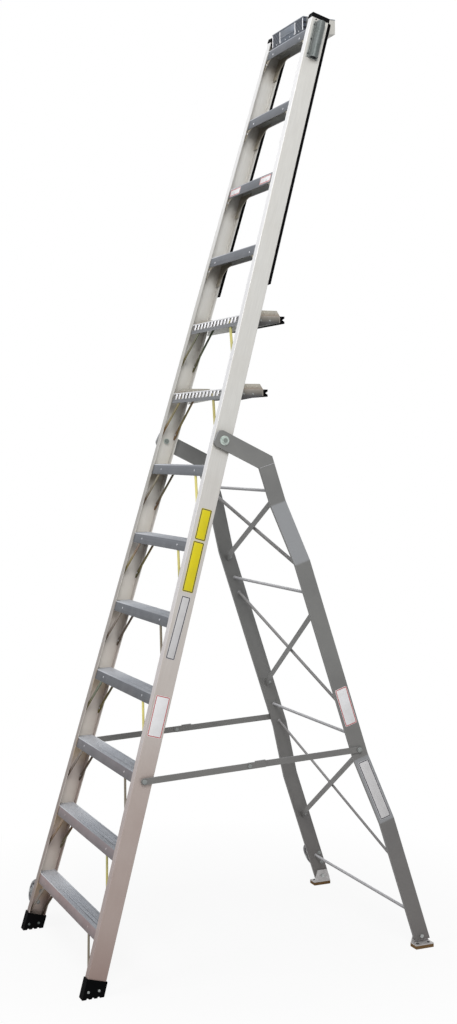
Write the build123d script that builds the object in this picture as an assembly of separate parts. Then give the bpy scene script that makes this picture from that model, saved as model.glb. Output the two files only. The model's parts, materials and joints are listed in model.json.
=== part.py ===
"""Aircraft maintenance ladder: a tapered climbing section of channel rails and treads, with two deep
standing platforms, a tool tray at the top and a folding rear support with spreaders, swivel shoes
and tilt-and-roll wheels on its left side.

Frame: +X to the climber's right, +Y from the climbing side to the rear support, +Z up. The origin is
on the floor, on the mid-plane, halfway between the front foot line and the rear feet.
Millimetres and degrees throughout.
"""
import math
import os

from build123d import *

# Climbing section: layout
LEAN = 16.0
STEP_PITCH = 304.8
FIRST_STEP = 258.0
TOP_MARGIN = 30.0
PLATFORM_STEPS = (8, 9)
GUSSETED_FROM = 10
FOOT_HALF_WIDTH = 441.5
TAPER = 3.3

# Front rails: channels with the web outside
RAIL_LENGTH = 3966.0
RAIL_DEPTH = 76.2
RAIL_FLANGE = 33.0
RAIL_WALL = 3.0
RAIL_CORNER = 2.0

# Treads: ribbed channels seated between the flanges
TREAD_WALL = 2.5
TREAD_SKIRT = 42.0
RIB_COUNT = 8
RIB_WIDTH = 3.2
RIB_HEIGHT = 1.4
SEAT_GAP = 0.2

# Standing platforms
PLATFORM_RISE = 8.0
PLATFORM_REACH = 180.0
PLATFORM_SKIRT = 42.0
PLATFORM_REAR_SKIRT = 26.0
PLATFORM_SLOTS = 14
SLOT_TOP = 4.0
SLOT_HEIGHT = 22.0
SLOT_SHARE = 0.52
GRIP_ROWS = 4
GRIP_COLUMNS = 9
GRIP_LENGTH = 30.0
GRIP_WIDTH = 15.0
SIDE_LIP_HEIGHT = 22.0
SIDE_LIP_WALL = 3.0
SIDE_LIP_RISE = 34.0
SIDE_LIP_SLOPE = 14.0
BRACKET_DEPTH = 46.0
BRACKET_WALL = 3.0
BUMPER_DEPTH = 20.0
BUMPER_HEIGHT = 29.0
BUMPER_LIP = 8.0
BUMPER_GROOVE = 10.0

# Knee braces and gussets
BRACE_WIDTH = 16.0
BRACE_WALL = 3.0
BRACE_REACH = 140.0
BRACE_DROP = 196.0
BRACE_FOOT = 40.0
FRONT_GUSSET_LEG = 50.0
GUSSET_LEG = 80.0
GUSSET_OVERLAP = 16.0

# Front boots
BOOT_WALL = 4.0
BOOT_SOLE = 22.0
BOOT_HEIGHT = 80.0
BOOT_LOBES = 4
LOBE_GROOVE = 5.0

# Rail tops
CAP_HEIGHT = 19.0
CAP_ROUND = 3.0
CAP_OVERHANG = 1.5
TRIM_BOTTOM = 2862.0
TRIM_WALL = 9.0
SOCKET_DROP = 16.0
SOCKET_LENGTH = 152.0
SOCKET_BORE = 27.0
SOCKET_WALL = 3.5
SOCKET_PLATE_WIDTH = 54.0
SOCKET_PLATE = 3.0

# Tool tray on the top tread
TRAY_SIDE_GAP = 33.0
TRAY_POCKET = 73.5
TRAY_DEPTH = 146.0
TRAY_HEIGHT = 58.0
TRAY_WALL = 3.0

# Rear support
PIVOT_HEIGHT = 2200.0
LEG_LEAN = 18.0
LEG_OFFSET = 142.5
LEG_WIDTH = 68.0
LEG_THICKNESS = 12.7
ARM_REACH = 198.5
ARM_END = 37.0
ARM_CORNER = 20.0
PIVOT_GAP = 5.8
FLARE_RODS = (0, 2)
FLARE_MARGINS = (52.0, 98.0)
FLARE_RUNS = (251.0, 273.0)
FLARE_STEPS = (62.0, 67.0)
BEND_RADIUS = 40.0
ROD_DIAMETER = 12.7
TOP_ROD_DROP = 259.0
BOTTOM_ROD_RISE = 104.5
ROD_SPACING = (0.0, 0.2343, 0.5703, 1.0)
CROSS_MARGINS = ((31.0, 97.0), (73.0, 108.0), (84.0, 217.0))
CROSS_ROD_DIAMETERS = (15.0, 13.0, 11.0)
STRAP_WIDTH = 22.0
STRAP_WALL = 3.0
STRAP_TAB = 34.0
LEG_CLEARANCE = 30.0

# Fold pivots
PIVOT_BOLT = 16.0
PIVOT_WASHER = 38.0
PIVOT_WASHER_WALL = 3.0
PIVOT_HEAD = 25.0
PIVOT_HEAD_HEIGHT = 8.0
BUSH_DIAMETER = 34.0

# Spreaders: two links a side, in one upright plane
SPREADER_HEIGHT = 845.0
SPREADER_DROP = 1375.0
SPREADER_FRONT_SHARE = 0.473
LINK_WIDTH = 25.4
LINK_WALL = 4.0
LINK_TAIL = 70.0
STOP_TAB_LENGTH = 44.0
STOP_TAB_WALL = 3.0
STUD_DIAMETER = 10.0
STUD_HEAD = 19.0
STUD_HEAD_HEIGHT = 4.5
LINK_PIN_DIAMETER = 8.0
LINK_PIN_HEAD = 17.0

# Rear shoes
SHOE_PAD_LENGTH = 84.0
SHOE_PAD_WIDTH = 46.0
SHOE_PAD_HEIGHT = 15.0
SHOE_PLATE = 4.0
SHOE_UPRIGHT = 54.0
SHOE_UPRIGHT_TOP = 50.0
SHOE_PIVOT_HEIGHT = 45.0
SHOE_BOLT = 10.0
SHOE_BOLT_HEAD = 17.0
SHOE_BOLT_HEAD_HEIGHT = 6.0
SHOE_SIDE_GAP = 0.8

# Wheels on the left side
WHEEL_DIAMETER = 102.0
WHEEL_WIDTH = 30.0
WHEEL_TREAD = 15.0
TYRE_SHOULDER = 5.0
HUB_BOSS = 30.0
HUB_WEB = 14.0
WHEEL_STAND_OFF = 66.0
FRONT_WHEEL_HEIGHT = 148.0
REAR_WHEEL_RISE = 86.5
REAR_WHEEL_BACK = 8.0
AXLE_DIAMETER = 12.0
AXLE_HEAD = 19.0
AXLE_HEAD_HEIGHT = 7.0
FORK_WALL = 4.0
FORK_GAP = 2.0
FORK_HEIGHT = 64.0
FORK_NOSE = 15.0

# Clearances
RUNNING = 0.05
PLAY = 0.4

# Values that follow from the driving dimensions
SIN_LEAN, COS_LEAN, TAN_LEAN = (f(math.radians(LEAN)) for f in (math.sin, math.cos, math.tan))
TAN_TAPER, COS_TAPER = math.tan(math.radians(TAPER)), math.cos(math.radians(TAPER))
SIN_LEG, COS_LEG = math.sin(math.radians(LEG_LEAN)), math.cos(math.radians(LEG_LEAN))
MID_DEPTH = RAIL_DEPTH / 2
TREAD_FRONT = RAIL_WALL + SEAT_GAP
TREAD_REAR = RAIL_DEPTH - RAIL_WALL - SEAT_GAP
KNEE_DROP = math.sqrt(ARM_REACH**2 - LEG_OFFSET**2)
PIVOT_FROM_FRONT = PIVOT_HEIGHT * SIN_LEAN + MID_DEPTH * COS_LEAN
PIVOT_Z = PIVOT_HEIGHT * COS_LEAN - MID_DEPTH * SIN_LEAN
ARM_X = FOOT_HALF_WIDTH - PIVOT_HEIGHT * TAN_TAPER + PIVOT_GAP


def leg_point(drop, across=LEG_OFFSET):
    """Depth from the front foot line and height of a point on a leg, a drop down from the pivot."""
    return (
        PIVOT_FROM_FRONT + drop * SIN_LEG + across * COS_LEG,
        PIVOT_Z - drop * COS_LEG + across * SIN_LEG,
    )


# A leg's centre line meets the shoe's pivot height at this drop
SHOE_DROP = (PIVOT_Z + LEG_OFFSET * SIN_LEG - SHOE_PIVOT_HEIGHT) / COS_LEG
SHOE_FROM_FRONT = leg_point(SHOE_DROP)[0]
FRONT_Y = -SHOE_FROM_FRONT / 2
PIVOT_Y = PIVOT_FROM_FRONT + FRONT_Y


def rod_drops():
    """Drops of the cross rods below the pivot, in bays that grow towards the foot."""
    run = SHOE_DROP - BOTTOM_ROD_RISE - TOP_ROD_DROP
    return [TOP_ROD_DROP + share * run for share in ROD_SPACING]


def flares():
    """Start, length and outward step of each flare of a leg, below the rods that they follow."""
    drops = rod_drops()
    places = zip(FLARE_RODS, FLARE_MARGINS, FLARE_RUNS, FLARE_STEPS)
    return [(drops[rod] + margin, run, step) for rod, margin, run, step in places]


def leg_inner(drop):
    """Distance of a leg's inner face from the mid-plane, a drop below the pivot."""
    return ARM_X + sum(step * min(max((drop - start) / run, 0.0), 1.0) for start, run, step in flares())


def leg_bends(offset=0.0):
    """The bends of a leg as (x, z), an offset out from its inner face, from the top down."""
    bends = []
    for start, run, step in flares():
        raised = offset * math.tan(math.atan2(step, run) / 2)
        bends += [(leg_inner(drop) + offset, raised - drop) for drop in (start, start + run)]
    return bends


# Cutting shapes reach this far past what they cut
REACH_PAST = FOOT_HALF_WIDTH

# Treads fill the rails up to a margin below the top
RAIL_TOP = RAIL_LENGTH * COS_TAPER
STEP_COUNT = math.floor((RAIL_TOP - FIRST_STEP - TOP_MARGIN) / STEP_PITCH) + 1


def rail_outer(along):
    """Half-width over the rails' outer faces, a distance along the climbing section."""
    return FOOT_HALF_WIDTH - along * TAN_TAPER


def web_inner(along):
    return rail_outer(along) - RAIL_WALL / COS_TAPER


def step_height(number):
    return FIRST_STEP + (number - 1) * STEP_PITCH


# Frames: ladder frame (X right, Y depth, Z along the rails), rail frame and rear frame to the floor frame
def stand(shape):
    return Pos(0, FRONT_Y, 0) * Rot(-LEAN, 0, 0) * shape


def along_rail(shape):
    """From the right rail's frame (X out of the web, Y depth, Z along the rail) to the ladder frame."""
    return Pos(FOOT_HALF_WIDTH, 0, 0) * Rot(0, -TAPER, 0) * shape


def on_right_rail(shape):
    return stand(along_rail(shape))


def rear(shape):
    """From the rear support's frame (Z up its legs, pivot at the origin) to the floor frame."""
    return Pos(0, PIVOT_Y, PIVOT_Z) * Rot(LEG_LEAN, 0, 0) * shape


def left(shape):
    return mirror(shape, about=Plane.YZ)


def both(shape):
    return bundle(shape, left(shape))


def bundle(*shapes):
    return Compound([solid for shape in shapes for solid in shape.solids()])


def block(x, y, z):
    """A box between the given (low, high) pairs."""
    size = [high - low for low, high in (x, y, z)]
    middle = [(high + low) / 2 for low, high in (x, y, z)]
    return Pos(*middle) * Box(*size)


def rod_x(radius, low, high, y=0.0, z=0.0):
    """A round bar along X."""
    return Pos((low + high) / 2, y, z) * Rot(0, 90, 0) * Cylinder(radius, high - low)


def rod_y(radius, low, high, x=0.0, z=0.0):
    """A round bar along Y."""
    return Pos(x, (low + high) / 2, z) * Rot(90, 0, 0) * Cylinder(radius, high - low)


def side_plate(points, thickness, start=0.0):
    """A plate cut to a side outline (depth, height), from start outwards along X."""
    return Pos(start, 0, 0) * extrude(Plane.YZ * make_face(Polyline(*points, close=True)), thickness)


def depth_plate(outline, low, high):
    """A plate drawn in (X, Z), between two depths."""
    return Pos(0, high, 0) * extrude(Plane.XZ * outline, high - low)


def below_floor(height):
    """Everything lower than a height above the floor."""
    side, depth = 2 * FOOT_HALF_WIDTH, 2 * SHOE_FROM_FRONT
    return block((-side, side), (-depth, depth), (-REACH_PAST, height))


def between_webs(start=0.0, end=REACH_PAST):
    """The space between the rails' webs in the ladder frame, between two depths."""
    high = RAIL_LENGTH + REACH_PAST
    corners = [
        (-web_inner(-REACH_PAST), -REACH_PAST),
        (web_inner(-REACH_PAST), -REACH_PAST),
        (web_inner(high), high),
        (-web_inner(high), high),
    ]
    return depth_plate(make_face(Polyline(*corners, close=True)), start, end)


def between_legs():
    """The space between the legs' inner faces in the rear support's frame."""
    right = [(ARM_X, 0), *leg_bends(), (leg_inner(SHOE_DROP), -(SHOE_DROP + REACH_PAST))]
    corners = right + [(-x, z) for x, z in reversed(right)]
    return depth_plate(make_face(Polyline(*corners, close=True)), -REACH_PAST, REACH_PAST)


# Front rails and what is fixed to them
def front_rail():
    outline = Pos(-RAIL_FLANGE / 2, MID_DEPTH) * Rectangle(RAIL_FLANGE, RAIL_DEPTH)
    outline = fillet(outline.vertices().group_by(Axis.X)[-1], RAIL_CORNER)
    inside = Pos(-(RAIL_WALL + RAIL_FLANGE) / 2, MID_DEPTH)
    outline -= inside * Rectangle(RAIL_FLANGE - RAIL_WALL, RAIL_DEPTH - 2 * RAIL_WALL)
    rail = on_right_rail(extrude(outline, RAIL_LENGTH)) - below_floor(BOOT_SOLE)
    return rail - rod_x(PIVOT_BOLT / 2 + RUNNING, 0, 2 * ARM_X, PIVOT_Y, PIVOT_Z)


def boot():
    """A rubber boot: a pocket for the rail's end over a lobed sole that lies flat on the floor."""
    low = -REACH_PAST / 4
    outside = block(
        (-RAIL_FLANGE - BOOT_WALL, BOOT_WALL), (-BOOT_WALL, RAIL_DEPTH + BOOT_WALL), (low, BOOT_HEIGHT)
    )
    pocket = block((-RAIL_FLANGE, 0), (0, RAIL_DEPTH), (low, BOOT_HEIGHT + BOOT_WALL))
    body = on_right_rail(outside) - below_floor(0) - (on_right_rail(pocket) - below_floor(BOOT_SOLE))
    sole = body.faces().sort_by(Axis.Z)[0].bounding_box()
    pitch = (sole.max.Y - sole.min.Y) / BOOT_LOBES
    for groove in range(1, BOOT_LOBES):
        body -= rod_x(LOBE_GROOVE, 0, 2 * FOOT_HALF_WIDTH, sole.min.Y + groove * pitch, 0)
    return body


def rail_cap():
    low = RAIL_LENGTH
    cap = block(
        (-RAIL_FLANGE - CAP_OVERHANG, CAP_OVERHANG),
        (-CAP_OVERHANG, RAIL_DEPTH + CAP_OVERHANG),
        (low, low + CAP_HEIGHT),
    )
    cap = fillet(cap.edges().group_by(Axis.Z)[-1], CAP_ROUND)
    return on_right_rail(cap)


def edge_trim():
    """The bumper strip down the back of a rail, with rounded outer edges."""
    outline = Pos(-RAIL_FLANGE / 2, RAIL_DEPTH + TRIM_WALL / 2) * Rectangle(RAIL_FLANGE, TRIM_WALL)
    outline = fillet(outline.vertices().group_by(Axis.Y)[-1], TRIM_WALL * 0.45)
    return on_right_rail(Pos(0, 0, TRIM_BOTTOM) * extrude(outline, RAIL_LENGTH - TRIM_BOTTOM))


def accessory_socket():
    """An extruded receiver: a tube on a flat plate, open at both ends."""
    radius = SOCKET_BORE / 2 + SOCKET_WALL
    outline = Pos(SOCKET_PLATE / 2, MID_DEPTH) * Rectangle(SOCKET_PLATE, SOCKET_PLATE_WIDTH)
    outline += Pos(radius, MID_DEPTH) * Circle(radius)
    outline += Pos(radius / 2, MID_DEPTH) * Rectangle(radius, 2 * radius)
    outline -= Pos(radius, MID_DEPTH) * Circle(SOCKET_BORE / 2)
    low = RAIL_LENGTH - SOCKET_DROP - SOCKET_LENGTH
    return on_right_rail(Pos(0, 0, low) * extrude(outline, SOCKET_LENGTH))


# Treads, platforms and their braces
def top_line(depth, step):
    """Height along the rails of a level surface at a depth, through the step's front top edge."""
    return step_height(step) + depth * TAN_LEAN


def tread_outline(step):
    """Tread section in (depth, along): skirts parallel to the rails under a level, ribbed top."""
    drop = TREAD_WALL / COS_LEAN
    rib = RIB_HEIGHT / COS_LEAN
    pitch = (TREAD_REAR - TREAD_FRONT) / RIB_COUNT

    def at(depth, fall=0.0):
        return (depth, top_line(depth, step) - fall)

    points = [at(TREAD_FRONT, TREAD_SKIRT), at(TREAD_FRONT)]
    for number in range(RIB_COUNT):
        start = TREAD_FRONT + number * pitch
        flat = start + RIB_WIDTH
        points += [at(flat), at(flat, rib), at(start + pitch, rib)]
        if number < RIB_COUNT - 1:
            points.append(at(start + pitch))
    inner_front, inner_rear = TREAD_FRONT + TREAD_WALL, TREAD_REAR - TREAD_WALL
    points += [
        at(TREAD_REAR, TREAD_SKIRT),
        (inner_rear, at(TREAD_REAR, TREAD_SKIRT)[1]),
        at(inner_rear, rib + drop),
        at(inner_front, rib + drop),
        (inner_front, at(TREAD_FRONT, TREAD_SKIRT)[1]),
    ]
    return make_face(Polyline(*points, close=True))


def tread(step):
    bar = extrude(Plane.YZ * tread_outline(step), FOOT_HALF_WIDTH, both=True)
    return stand(bar & between_webs())


def platform_top(step):
    """Height above the floor of a platform's top, a little above the plain treads' line."""
    return step_height(step) * COS_LEAN + PLATFORM_RISE


def platform_half_width(step):
    """Half-width just inside the flanges' edges at the platform's highest point."""
    highest = platform_top(step) / COS_LEAN + PLATFORM_REACH * SIN_LEAN + SIDE_LIP_HEIGHT * COS_LEAN
    return rail_outer(highest) - RAIL_FLANGE / COS_TAPER - PLAY


def platform_front(step):
    """Depth of a platform's front top edge, in the floor frame."""
    return FRONT_Y + platform_top(step) * TAN_LEAN + TREAD_FRONT / COS_LEAN


def platform_rear(step):
    """Depth of a platform's rear face, in the floor frame."""
    return FRONT_Y + platform_top(step) * TAN_LEAN + PLATFORM_REACH


def platform(step):
    """A deep plank: slotted front skirt, level top with diamond grip holes, short rear skirt."""
    half = platform_half_width(step)
    top, front_y, rear_y = platform_top(step), platform_front(step), platform_rear(step)
    rails_y = front_y + (TREAD_REAR - TREAD_FRONT) / COS_LEAN
    run = PLATFORM_SKIRT * TAN_LEAN * COS_LEAN**2

    skirt_drop = PLATFORM_SKIRT * COS_LEAN
    skirt_run = PLATFORM_SKIRT * SIN_LEAN
    wall = TREAD_WALL / COS_LEAN
    plank = [
        (front_y - skirt_run, top - skirt_drop),
        (front_y, top),
        (rear_y, top),
        (rear_y, top - PLATFORM_REAR_SKIRT),
        (rear_y - TREAD_WALL, top - PLATFORM_REAR_SKIRT),
        (rear_y - TREAD_WALL, top - TREAD_WALL),
        (front_y + wall - TREAD_WALL * TAN_LEAN, top - TREAD_WALL),
        (front_y + wall - skirt_run, top - skirt_drop),
    ]
    body = side_plate(plank, 2 * half, -half)
    tongue = block((-FOOT_HALF_WIDTH, FOOT_HALF_WIDTH), (front_y - run, rails_y), (top - TREAD_WALL, top))
    body += tongue & stand(between_webs(TREAD_FRONT, TREAD_REAR))

    pitch = 2 * half / PLATFORM_SLOTS
    middle = SLOT_TOP + SLOT_HEIGHT / 2
    slot_y, slot_z = front_y - middle * SIN_LEAN, top - middle * COS_LEAN
    for number in range(PLATFORM_SLOTS):
        slot = Box(pitch * SLOT_SHARE, 4 * TREAD_WALL, SLOT_HEIGHT)
        body -= Pos(-half + (number + 0.5) * pitch, slot_y, slot_z) * Rot(-LEAN, 0, 0) * slot

    row = (rear_y - front_y) / (GRIP_ROWS + 1)
    column = 2 * half / (GRIP_COLUMNS + 1)
    ends = [(-GRIP_LENGTH / 2, 0), (0, GRIP_WIDTH / 2), (GRIP_LENGTH / 2, 0), (0, -GRIP_WIDTH / 2)]
    diamond = make_face(Polyline(*ends, close=True))
    for line in range(GRIP_ROWS):
        count = GRIP_COLUMNS - line % 2
        start = -(count - 1) / 2 * column
        for number in range(count):
            place = Pos(start + number * column, front_y + (line + 1) * row, top - 2 * TREAD_WALL)
            body -= place * extrude(diamond, 4 * TREAD_WALL)
    return body


def rail_back(height):
    """Depth just behind the rails' rear faces at a height above the floor."""
    return FRONT_Y + height * TAN_LEAN + RAIL_DEPTH / COS_LEAN + SEAT_GAP


def platform_side_plate(step):
    """The right-hand lip: it stands on the platform's edge and slopes down at both ends."""
    half, top = platform_half_width(step), platform_top(step)
    front_y, rear_y, high = platform_front(step), platform_rear(step), top + SIDE_LIP_HEIGHT
    points = [
        (front_y, top),
        (front_y + SIDE_LIP_RISE, high),
        (rear_y - SIDE_LIP_SLOPE, high),
        (rear_y, top),
    ]
    return side_plate(points, SIDE_LIP_WALL, half - SIDE_LIP_WALL)


def platform_bracket(step):
    """The right-hand bracket under a platform's edge, deepest at the rail."""
    half, top = platform_half_width(step), platform_top(step)
    low, high, rear_y = top - BRACKET_DEPTH, top - TREAD_WALL, platform_rear(step) - TREAD_WALL
    points = [
        (rail_back(low), low),
        (rail_back(high), high),
        (rear_y, high),
        (rear_y, top - PLATFORM_REAR_SKIRT),
    ]
    return side_plate(points, BRACKET_WALL, half - BRACKET_WALL)


def platform_bumper(step):
    """A rubber strip along a platform's rear edge, with a groove between its two lips."""
    half, top, start = platform_half_width(step), platform_top(step), platform_rear(step)
    end, low = start + BUMPER_DEPTH, top - BUMPER_HEIGHT
    points = [
        (start, low),
        (start, top),
        (end, top),
        (end, top - BUMPER_LIP),
        (end - BUMPER_GROOVE, top - BUMPER_HEIGHT / 2),
        (end, low + BUMPER_LIP),
        (end, low),
    ]
    return side_plate(points, 2 * half, -half)


def brace_plane(front):
    """Depths between which a brace lies against the inside of a tread's front or rear skirt."""
    if front:
        return TREAD_FRONT + TREAD_WALL, TREAD_FRONT + TREAD_WALL + BRACE_WALL
    return TREAD_REAR - TREAD_WALL - BRACE_WALL, TREAD_REAR - TREAD_WALL


def knee_brace(step, front):
    """A strap from a step down to a foot joggled onto the inside of the right rail's flange. Its head lies
    inside the step's skirt, or runs up under the plank where a platform has no skirt near."""
    low, high = brace_plane(front)
    depth = (low + high) / 2
    on_platform = step in PLATFORM_STEPS
    top = top_line(depth, step) + (PLATFORM_RISE / COS_LEAN if on_platform else 0.0)
    head = top if on_platform and not front else top - TREAD_SKIRT / 2
    foot = top - BRACE_DROP
    head_x, foot_x = web_inner(foot) - BRACE_REACH, web_inner(foot)
    run, fall = foot_x - head_x, head - foot
    length = math.hypot(run, fall) + BRACE_WIDTH
    place = Pos((head_x + foot_x) / 2, 0, (head + foot) / 2) * Rot(0, math.degrees(math.atan2(fall, run)), 0)
    width = (-BRACE_WIDTH / 2, BRACE_WIDTH / 2)
    seat = (RAIL_WALL, high) if front else (low, RAIL_DEPTH - RAIL_WALL)
    strap = block((-length / 2, length / 2), (low, high), width)
    strap += block((length / 2 - BRACE_FOOT, length / 2), seat, width)
    body = stand((place * strap) & between_webs())
    return body & below_floor(platform_top(step) - TREAD_WALL) if on_platform else body


def gusset(step, front):
    """A corner plate under an upper tread, with a curved free edge."""
    low, high = brace_plane(front)
    skirt_low = top_line((low + high) / 2, step) - TREAD_SKIRT
    web = web_inner(skirt_low)
    edge = rail_outer(skirt_low) - RAIL_FLANGE
    leg = FRONT_GUSSET_LEG if front else GUSSET_LEG
    corner_x, corner_z = edge - leg, skirt_low - leg
    outline = Pos((corner_x + web) / 2 + RAIL_FLANGE / 2, (corner_z + skirt_low + GUSSET_OVERLAP) / 2)
    outline *= Rectangle(web - corner_x + RAIL_FLANGE, leg + GUSSET_OVERLAP)
    outline -= Pos(corner_x, corner_z) * Circle(leg)
    return stand(depth_plate(outline, low, high) & between_webs())


def braces(shape_of, steps):
    return [shape_of(step, front) for step in steps for front in (True, False)]


def tool_tray():
    """A folded tray on the top tread: a middle bin and a pocket each side, open at the top."""
    top_step = STEP_COUNT
    front_y = step_height(top_step) * SIN_LEAN + FRONT_Y + TREAD_FRONT / COS_LEAN
    rear_y, low = front_y + TRAY_DEPTH, step_height(top_step) * COS_LEAN
    high = low + TRAY_HEIGHT
    wall = TRAY_WALL
    wide = rail_outer(RAIL_TOP) - RAIL_FLANGE - TRAY_SIDE_GAP
    panel = wide - TRAY_POCKET
    tray = block((-wide, wide), (front_y, rear_y), (low, low + wall))
    tray += block((-wide, wide), (rear_y - wall, rear_y), (low, high))
    tray += block((-wide, wide), (front_y, front_y + wall), (low, high))
    for outer in (wide, panel):
        tray += block((outer - wall, outer), (front_y, rear_y), (low, high))
        tray += block((-outer, wall - outer), (front_y, rear_y), (low, high))
    return tray


# Rear support
ARM_DIRECTION = Vector(LEG_OFFSET, -KNEE_DROP).normalized()
LEG_DIRECTION = Vector(0, -1)
KNEE = Vector(LEG_OFFSET, -KNEE_DROP)


def knee_corner(offset):
    """The mitred corner at the knee, an offset to the rear of both centre lines, in (depth, height)."""
    arm_normal = Vector(-ARM_DIRECTION.Y, ARM_DIRECTION.X)
    leg_normal = Vector(-LEG_DIRECTION.Y, LEG_DIRECTION.X)
    bisector = (arm_normal + leg_normal) * (offset / (1 + arm_normal.dot(leg_normal)))
    corner = KNEE + bisector
    return (corner.X, corner.Y)


def arm_outline():
    """The arm from its end past the pivot, round the knee, to a square cut at the knee's inner corner."""
    half = LEG_WIDTH / 2
    normal = Vector(-ARM_DIRECTION.Y, ARM_DIRECTION.X)
    end = ARM_DIRECTION * -ARM_END
    upper, lower = end + normal * half, end - normal * half
    inner = knee_corner(-half)
    rear_cut = (LEG_OFFSET + half, inner[1])
    points = [(upper.X, upper.Y), knee_corner(half), rear_cut, inner, (lower.X, lower.Y)]
    face = make_face(Polyline(*points, close=True))
    ends = [v for v in face.vertices() if (Vector(v.X, v.Y) - end).length < half * 1.01]
    return fillet(ends, ARM_CORNER)


def rear_arm():
    body = rear(Pos(ARM_X, 0, 0) * extrude(Plane.YZ * arm_outline(), LEG_THICKNESS))
    return body - rod_x(PIVOT_BOLT / 2 + RUNNING, 0, 2 * ARM_X, PIVOT_Y, PIVOT_Z)


def rear_leg():
    """A flat bar with two outward joggles, butted to the arm and cut level above its shoe."""
    half, low = LEG_WIDTH / 2, -(SHOE_DROP + REACH_PAST)
    top, foot_x = knee_corner(-half)[1], leg_inner(SHOE_DROP)
    inner = [(ARM_X, top), *leg_bends(), (foot_x, low)]
    outer = [(ARM_X + LEG_THICKNESS, top), *leg_bends(LEG_THICKNESS), (foot_x + LEG_THICKNESS, low)]
    outline = make_face(Polyline(*inner, *reversed(outer), close=True))
    bends = outline.vertices().sort_by(Axis.Y)[2:-2]
    outline = fillet(bends, BEND_RADIUS)
    body = rear(depth_plate(outline, LEG_OFFSET - half, LEG_OFFSET + half)) - below_floor(LEG_CLEARANCE)
    y = SHOE_FROM_FRONT + FRONT_Y
    return body - rod_x(SHOE_BOLT / 2, 0, 2 * FOOT_HALF_WIDTH, y, SHOE_PIVOT_HEIGHT)


def cross_bays():
    """Upper and lower drop of each crossed pair, a margin inside the rods above and below it."""
    drops = rod_drops()
    pairs = zip(drops, drops[1:], CROSS_MARGINS)
    return [(upper + below, lower - above) for upper, lower, (below, above) in pairs]


def cross_rods():
    end = leg_inner(SHOE_DROP)
    rods = [rod_x(ROD_DIAMETER / 2, -end, end, LEG_OFFSET, -drop) for drop in rod_drops()]
    return bundle(*[rear(rod & between_legs()) for rod in rods])


def slope_between(left_drop, right_drop):
    """Place and length of a bar from the left leg at one drop to past the right leg at another."""
    low, high = -leg_inner(left_drop), leg_inner(right_drop)
    run, rise = high - low, left_drop - right_drop
    slope = math.degrees(math.atan2(rise, run))
    place = Pos((low + high) / 2, 0, -(left_drop + right_drop) / 2) * Rot(0, -slope, 0)
    return place, math.hypot(run, rise) + 2 * STRAP_TAB


def cross_brace_rods():
    rods = []
    for (upper, lower), diameter in zip(cross_bays(), CROSS_ROD_DIAMETERS):
        place, length = slope_between(upper, lower)
        rod = place * rod_x(diameter / 2, -length / 2, length / 2, LEG_OFFSET)
        rods.append(rear(rod & between_legs()))
    return bundle(*rods)


def strap_tab(drop, front):
    """The bent end of a strap on the right leg's inner face, from a depth to the rear."""
    x, half = leg_inner(drop), STRAP_WIDTH / 2
    return block((x - STRAP_WALL, x), (front, front + STRAP_TAB), (-drop - half, half - drop))


def cross_brace_straps():
    """Flat straps that pass in front of the sloping rods, with a bent tab on each leg."""
    straps = []
    for (upper, lower), diameter in zip(cross_bays(), CROSS_ROD_DIAMETERS):
        front = LEG_OFFSET - diameter / 2 - PLAY - STRAP_WALL
        place, length = slope_between(lower, upper)
        half = STRAP_WIDTH / 2
        bar = block((-length / 2, length / 2), (front, front + STRAP_WALL), (-half, half))
        strap = (place * bar) & between_legs()
        straps.append(rear(strap + strap_tab(upper, front) + left(strap_tab(lower, front))))
    return bundle(*straps)


# Fold pivots
WASHER_X = ARM_X + LEG_THICKNESS + PLAY


def rail_outside():
    """The space outside the right rail's web."""
    return on_right_rail(block((0, REACH_PAST), (-REACH_PAST, REACH_PAST), (0, RAIL_LENGTH)))


def rail_inside():
    """The space inside the right rail's web."""
    depths = (-REACH_PAST, REACH_PAST)
    return on_right_rail(block((-REACH_PAST - RAIL_WALL, -RAIL_WALL), depths, (0, RAIL_LENGTH)))


def pivot_bolt():
    """A bolt with its washer outside the arm and its nut against the web inside the rail."""
    web = web_inner(PIVOT_HEIGHT)
    inside = web - PIVOT_HEAD_HEIGHT - 2 * PIVOT_WASHER_WALL
    head_x = WASHER_X + PIVOT_WASHER_WALL
    bolt = rod_x(PIVOT_BOLT / 2, inside, head_x)
    bolt += rod_x(PIVOT_WASHER / 2, WASHER_X, head_x)
    head = Pos(head_x, 0, 0) * Rot(0, 90, 0) * extrude(RegularPolygon(PIVOT_HEAD / 2, 6), PIVOT_HEAD_HEIGHT)
    nut = Pos(web - PIVOT_HEAD_HEIGHT, 0, 0) * Rot(0, 90, 0)
    nut *= extrude(RegularPolygon(PIVOT_HEAD / 2, 6), 2 * PIVOT_HEAD_HEIGHT)
    place = Pos(0, PIVOT_Y, PIVOT_Z)
    return place * (bolt + head) + ((place * nut) & rail_inside())


def pivot_bush():
    """A plastic spacer seated on the rail, between the web and the arm."""
    ring = rod_x(BUSH_DIAMETER / 2, web_inner(PIVOT_HEIGHT), ARM_X - PLAY)
    ring -= rod_x(PIVOT_BOLT / 2 + RUNNING, 0, 2 * ARM_X)
    return (Pos(0, PIVOT_Y, PIVOT_Z) * ring) & rail_outside()


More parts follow.
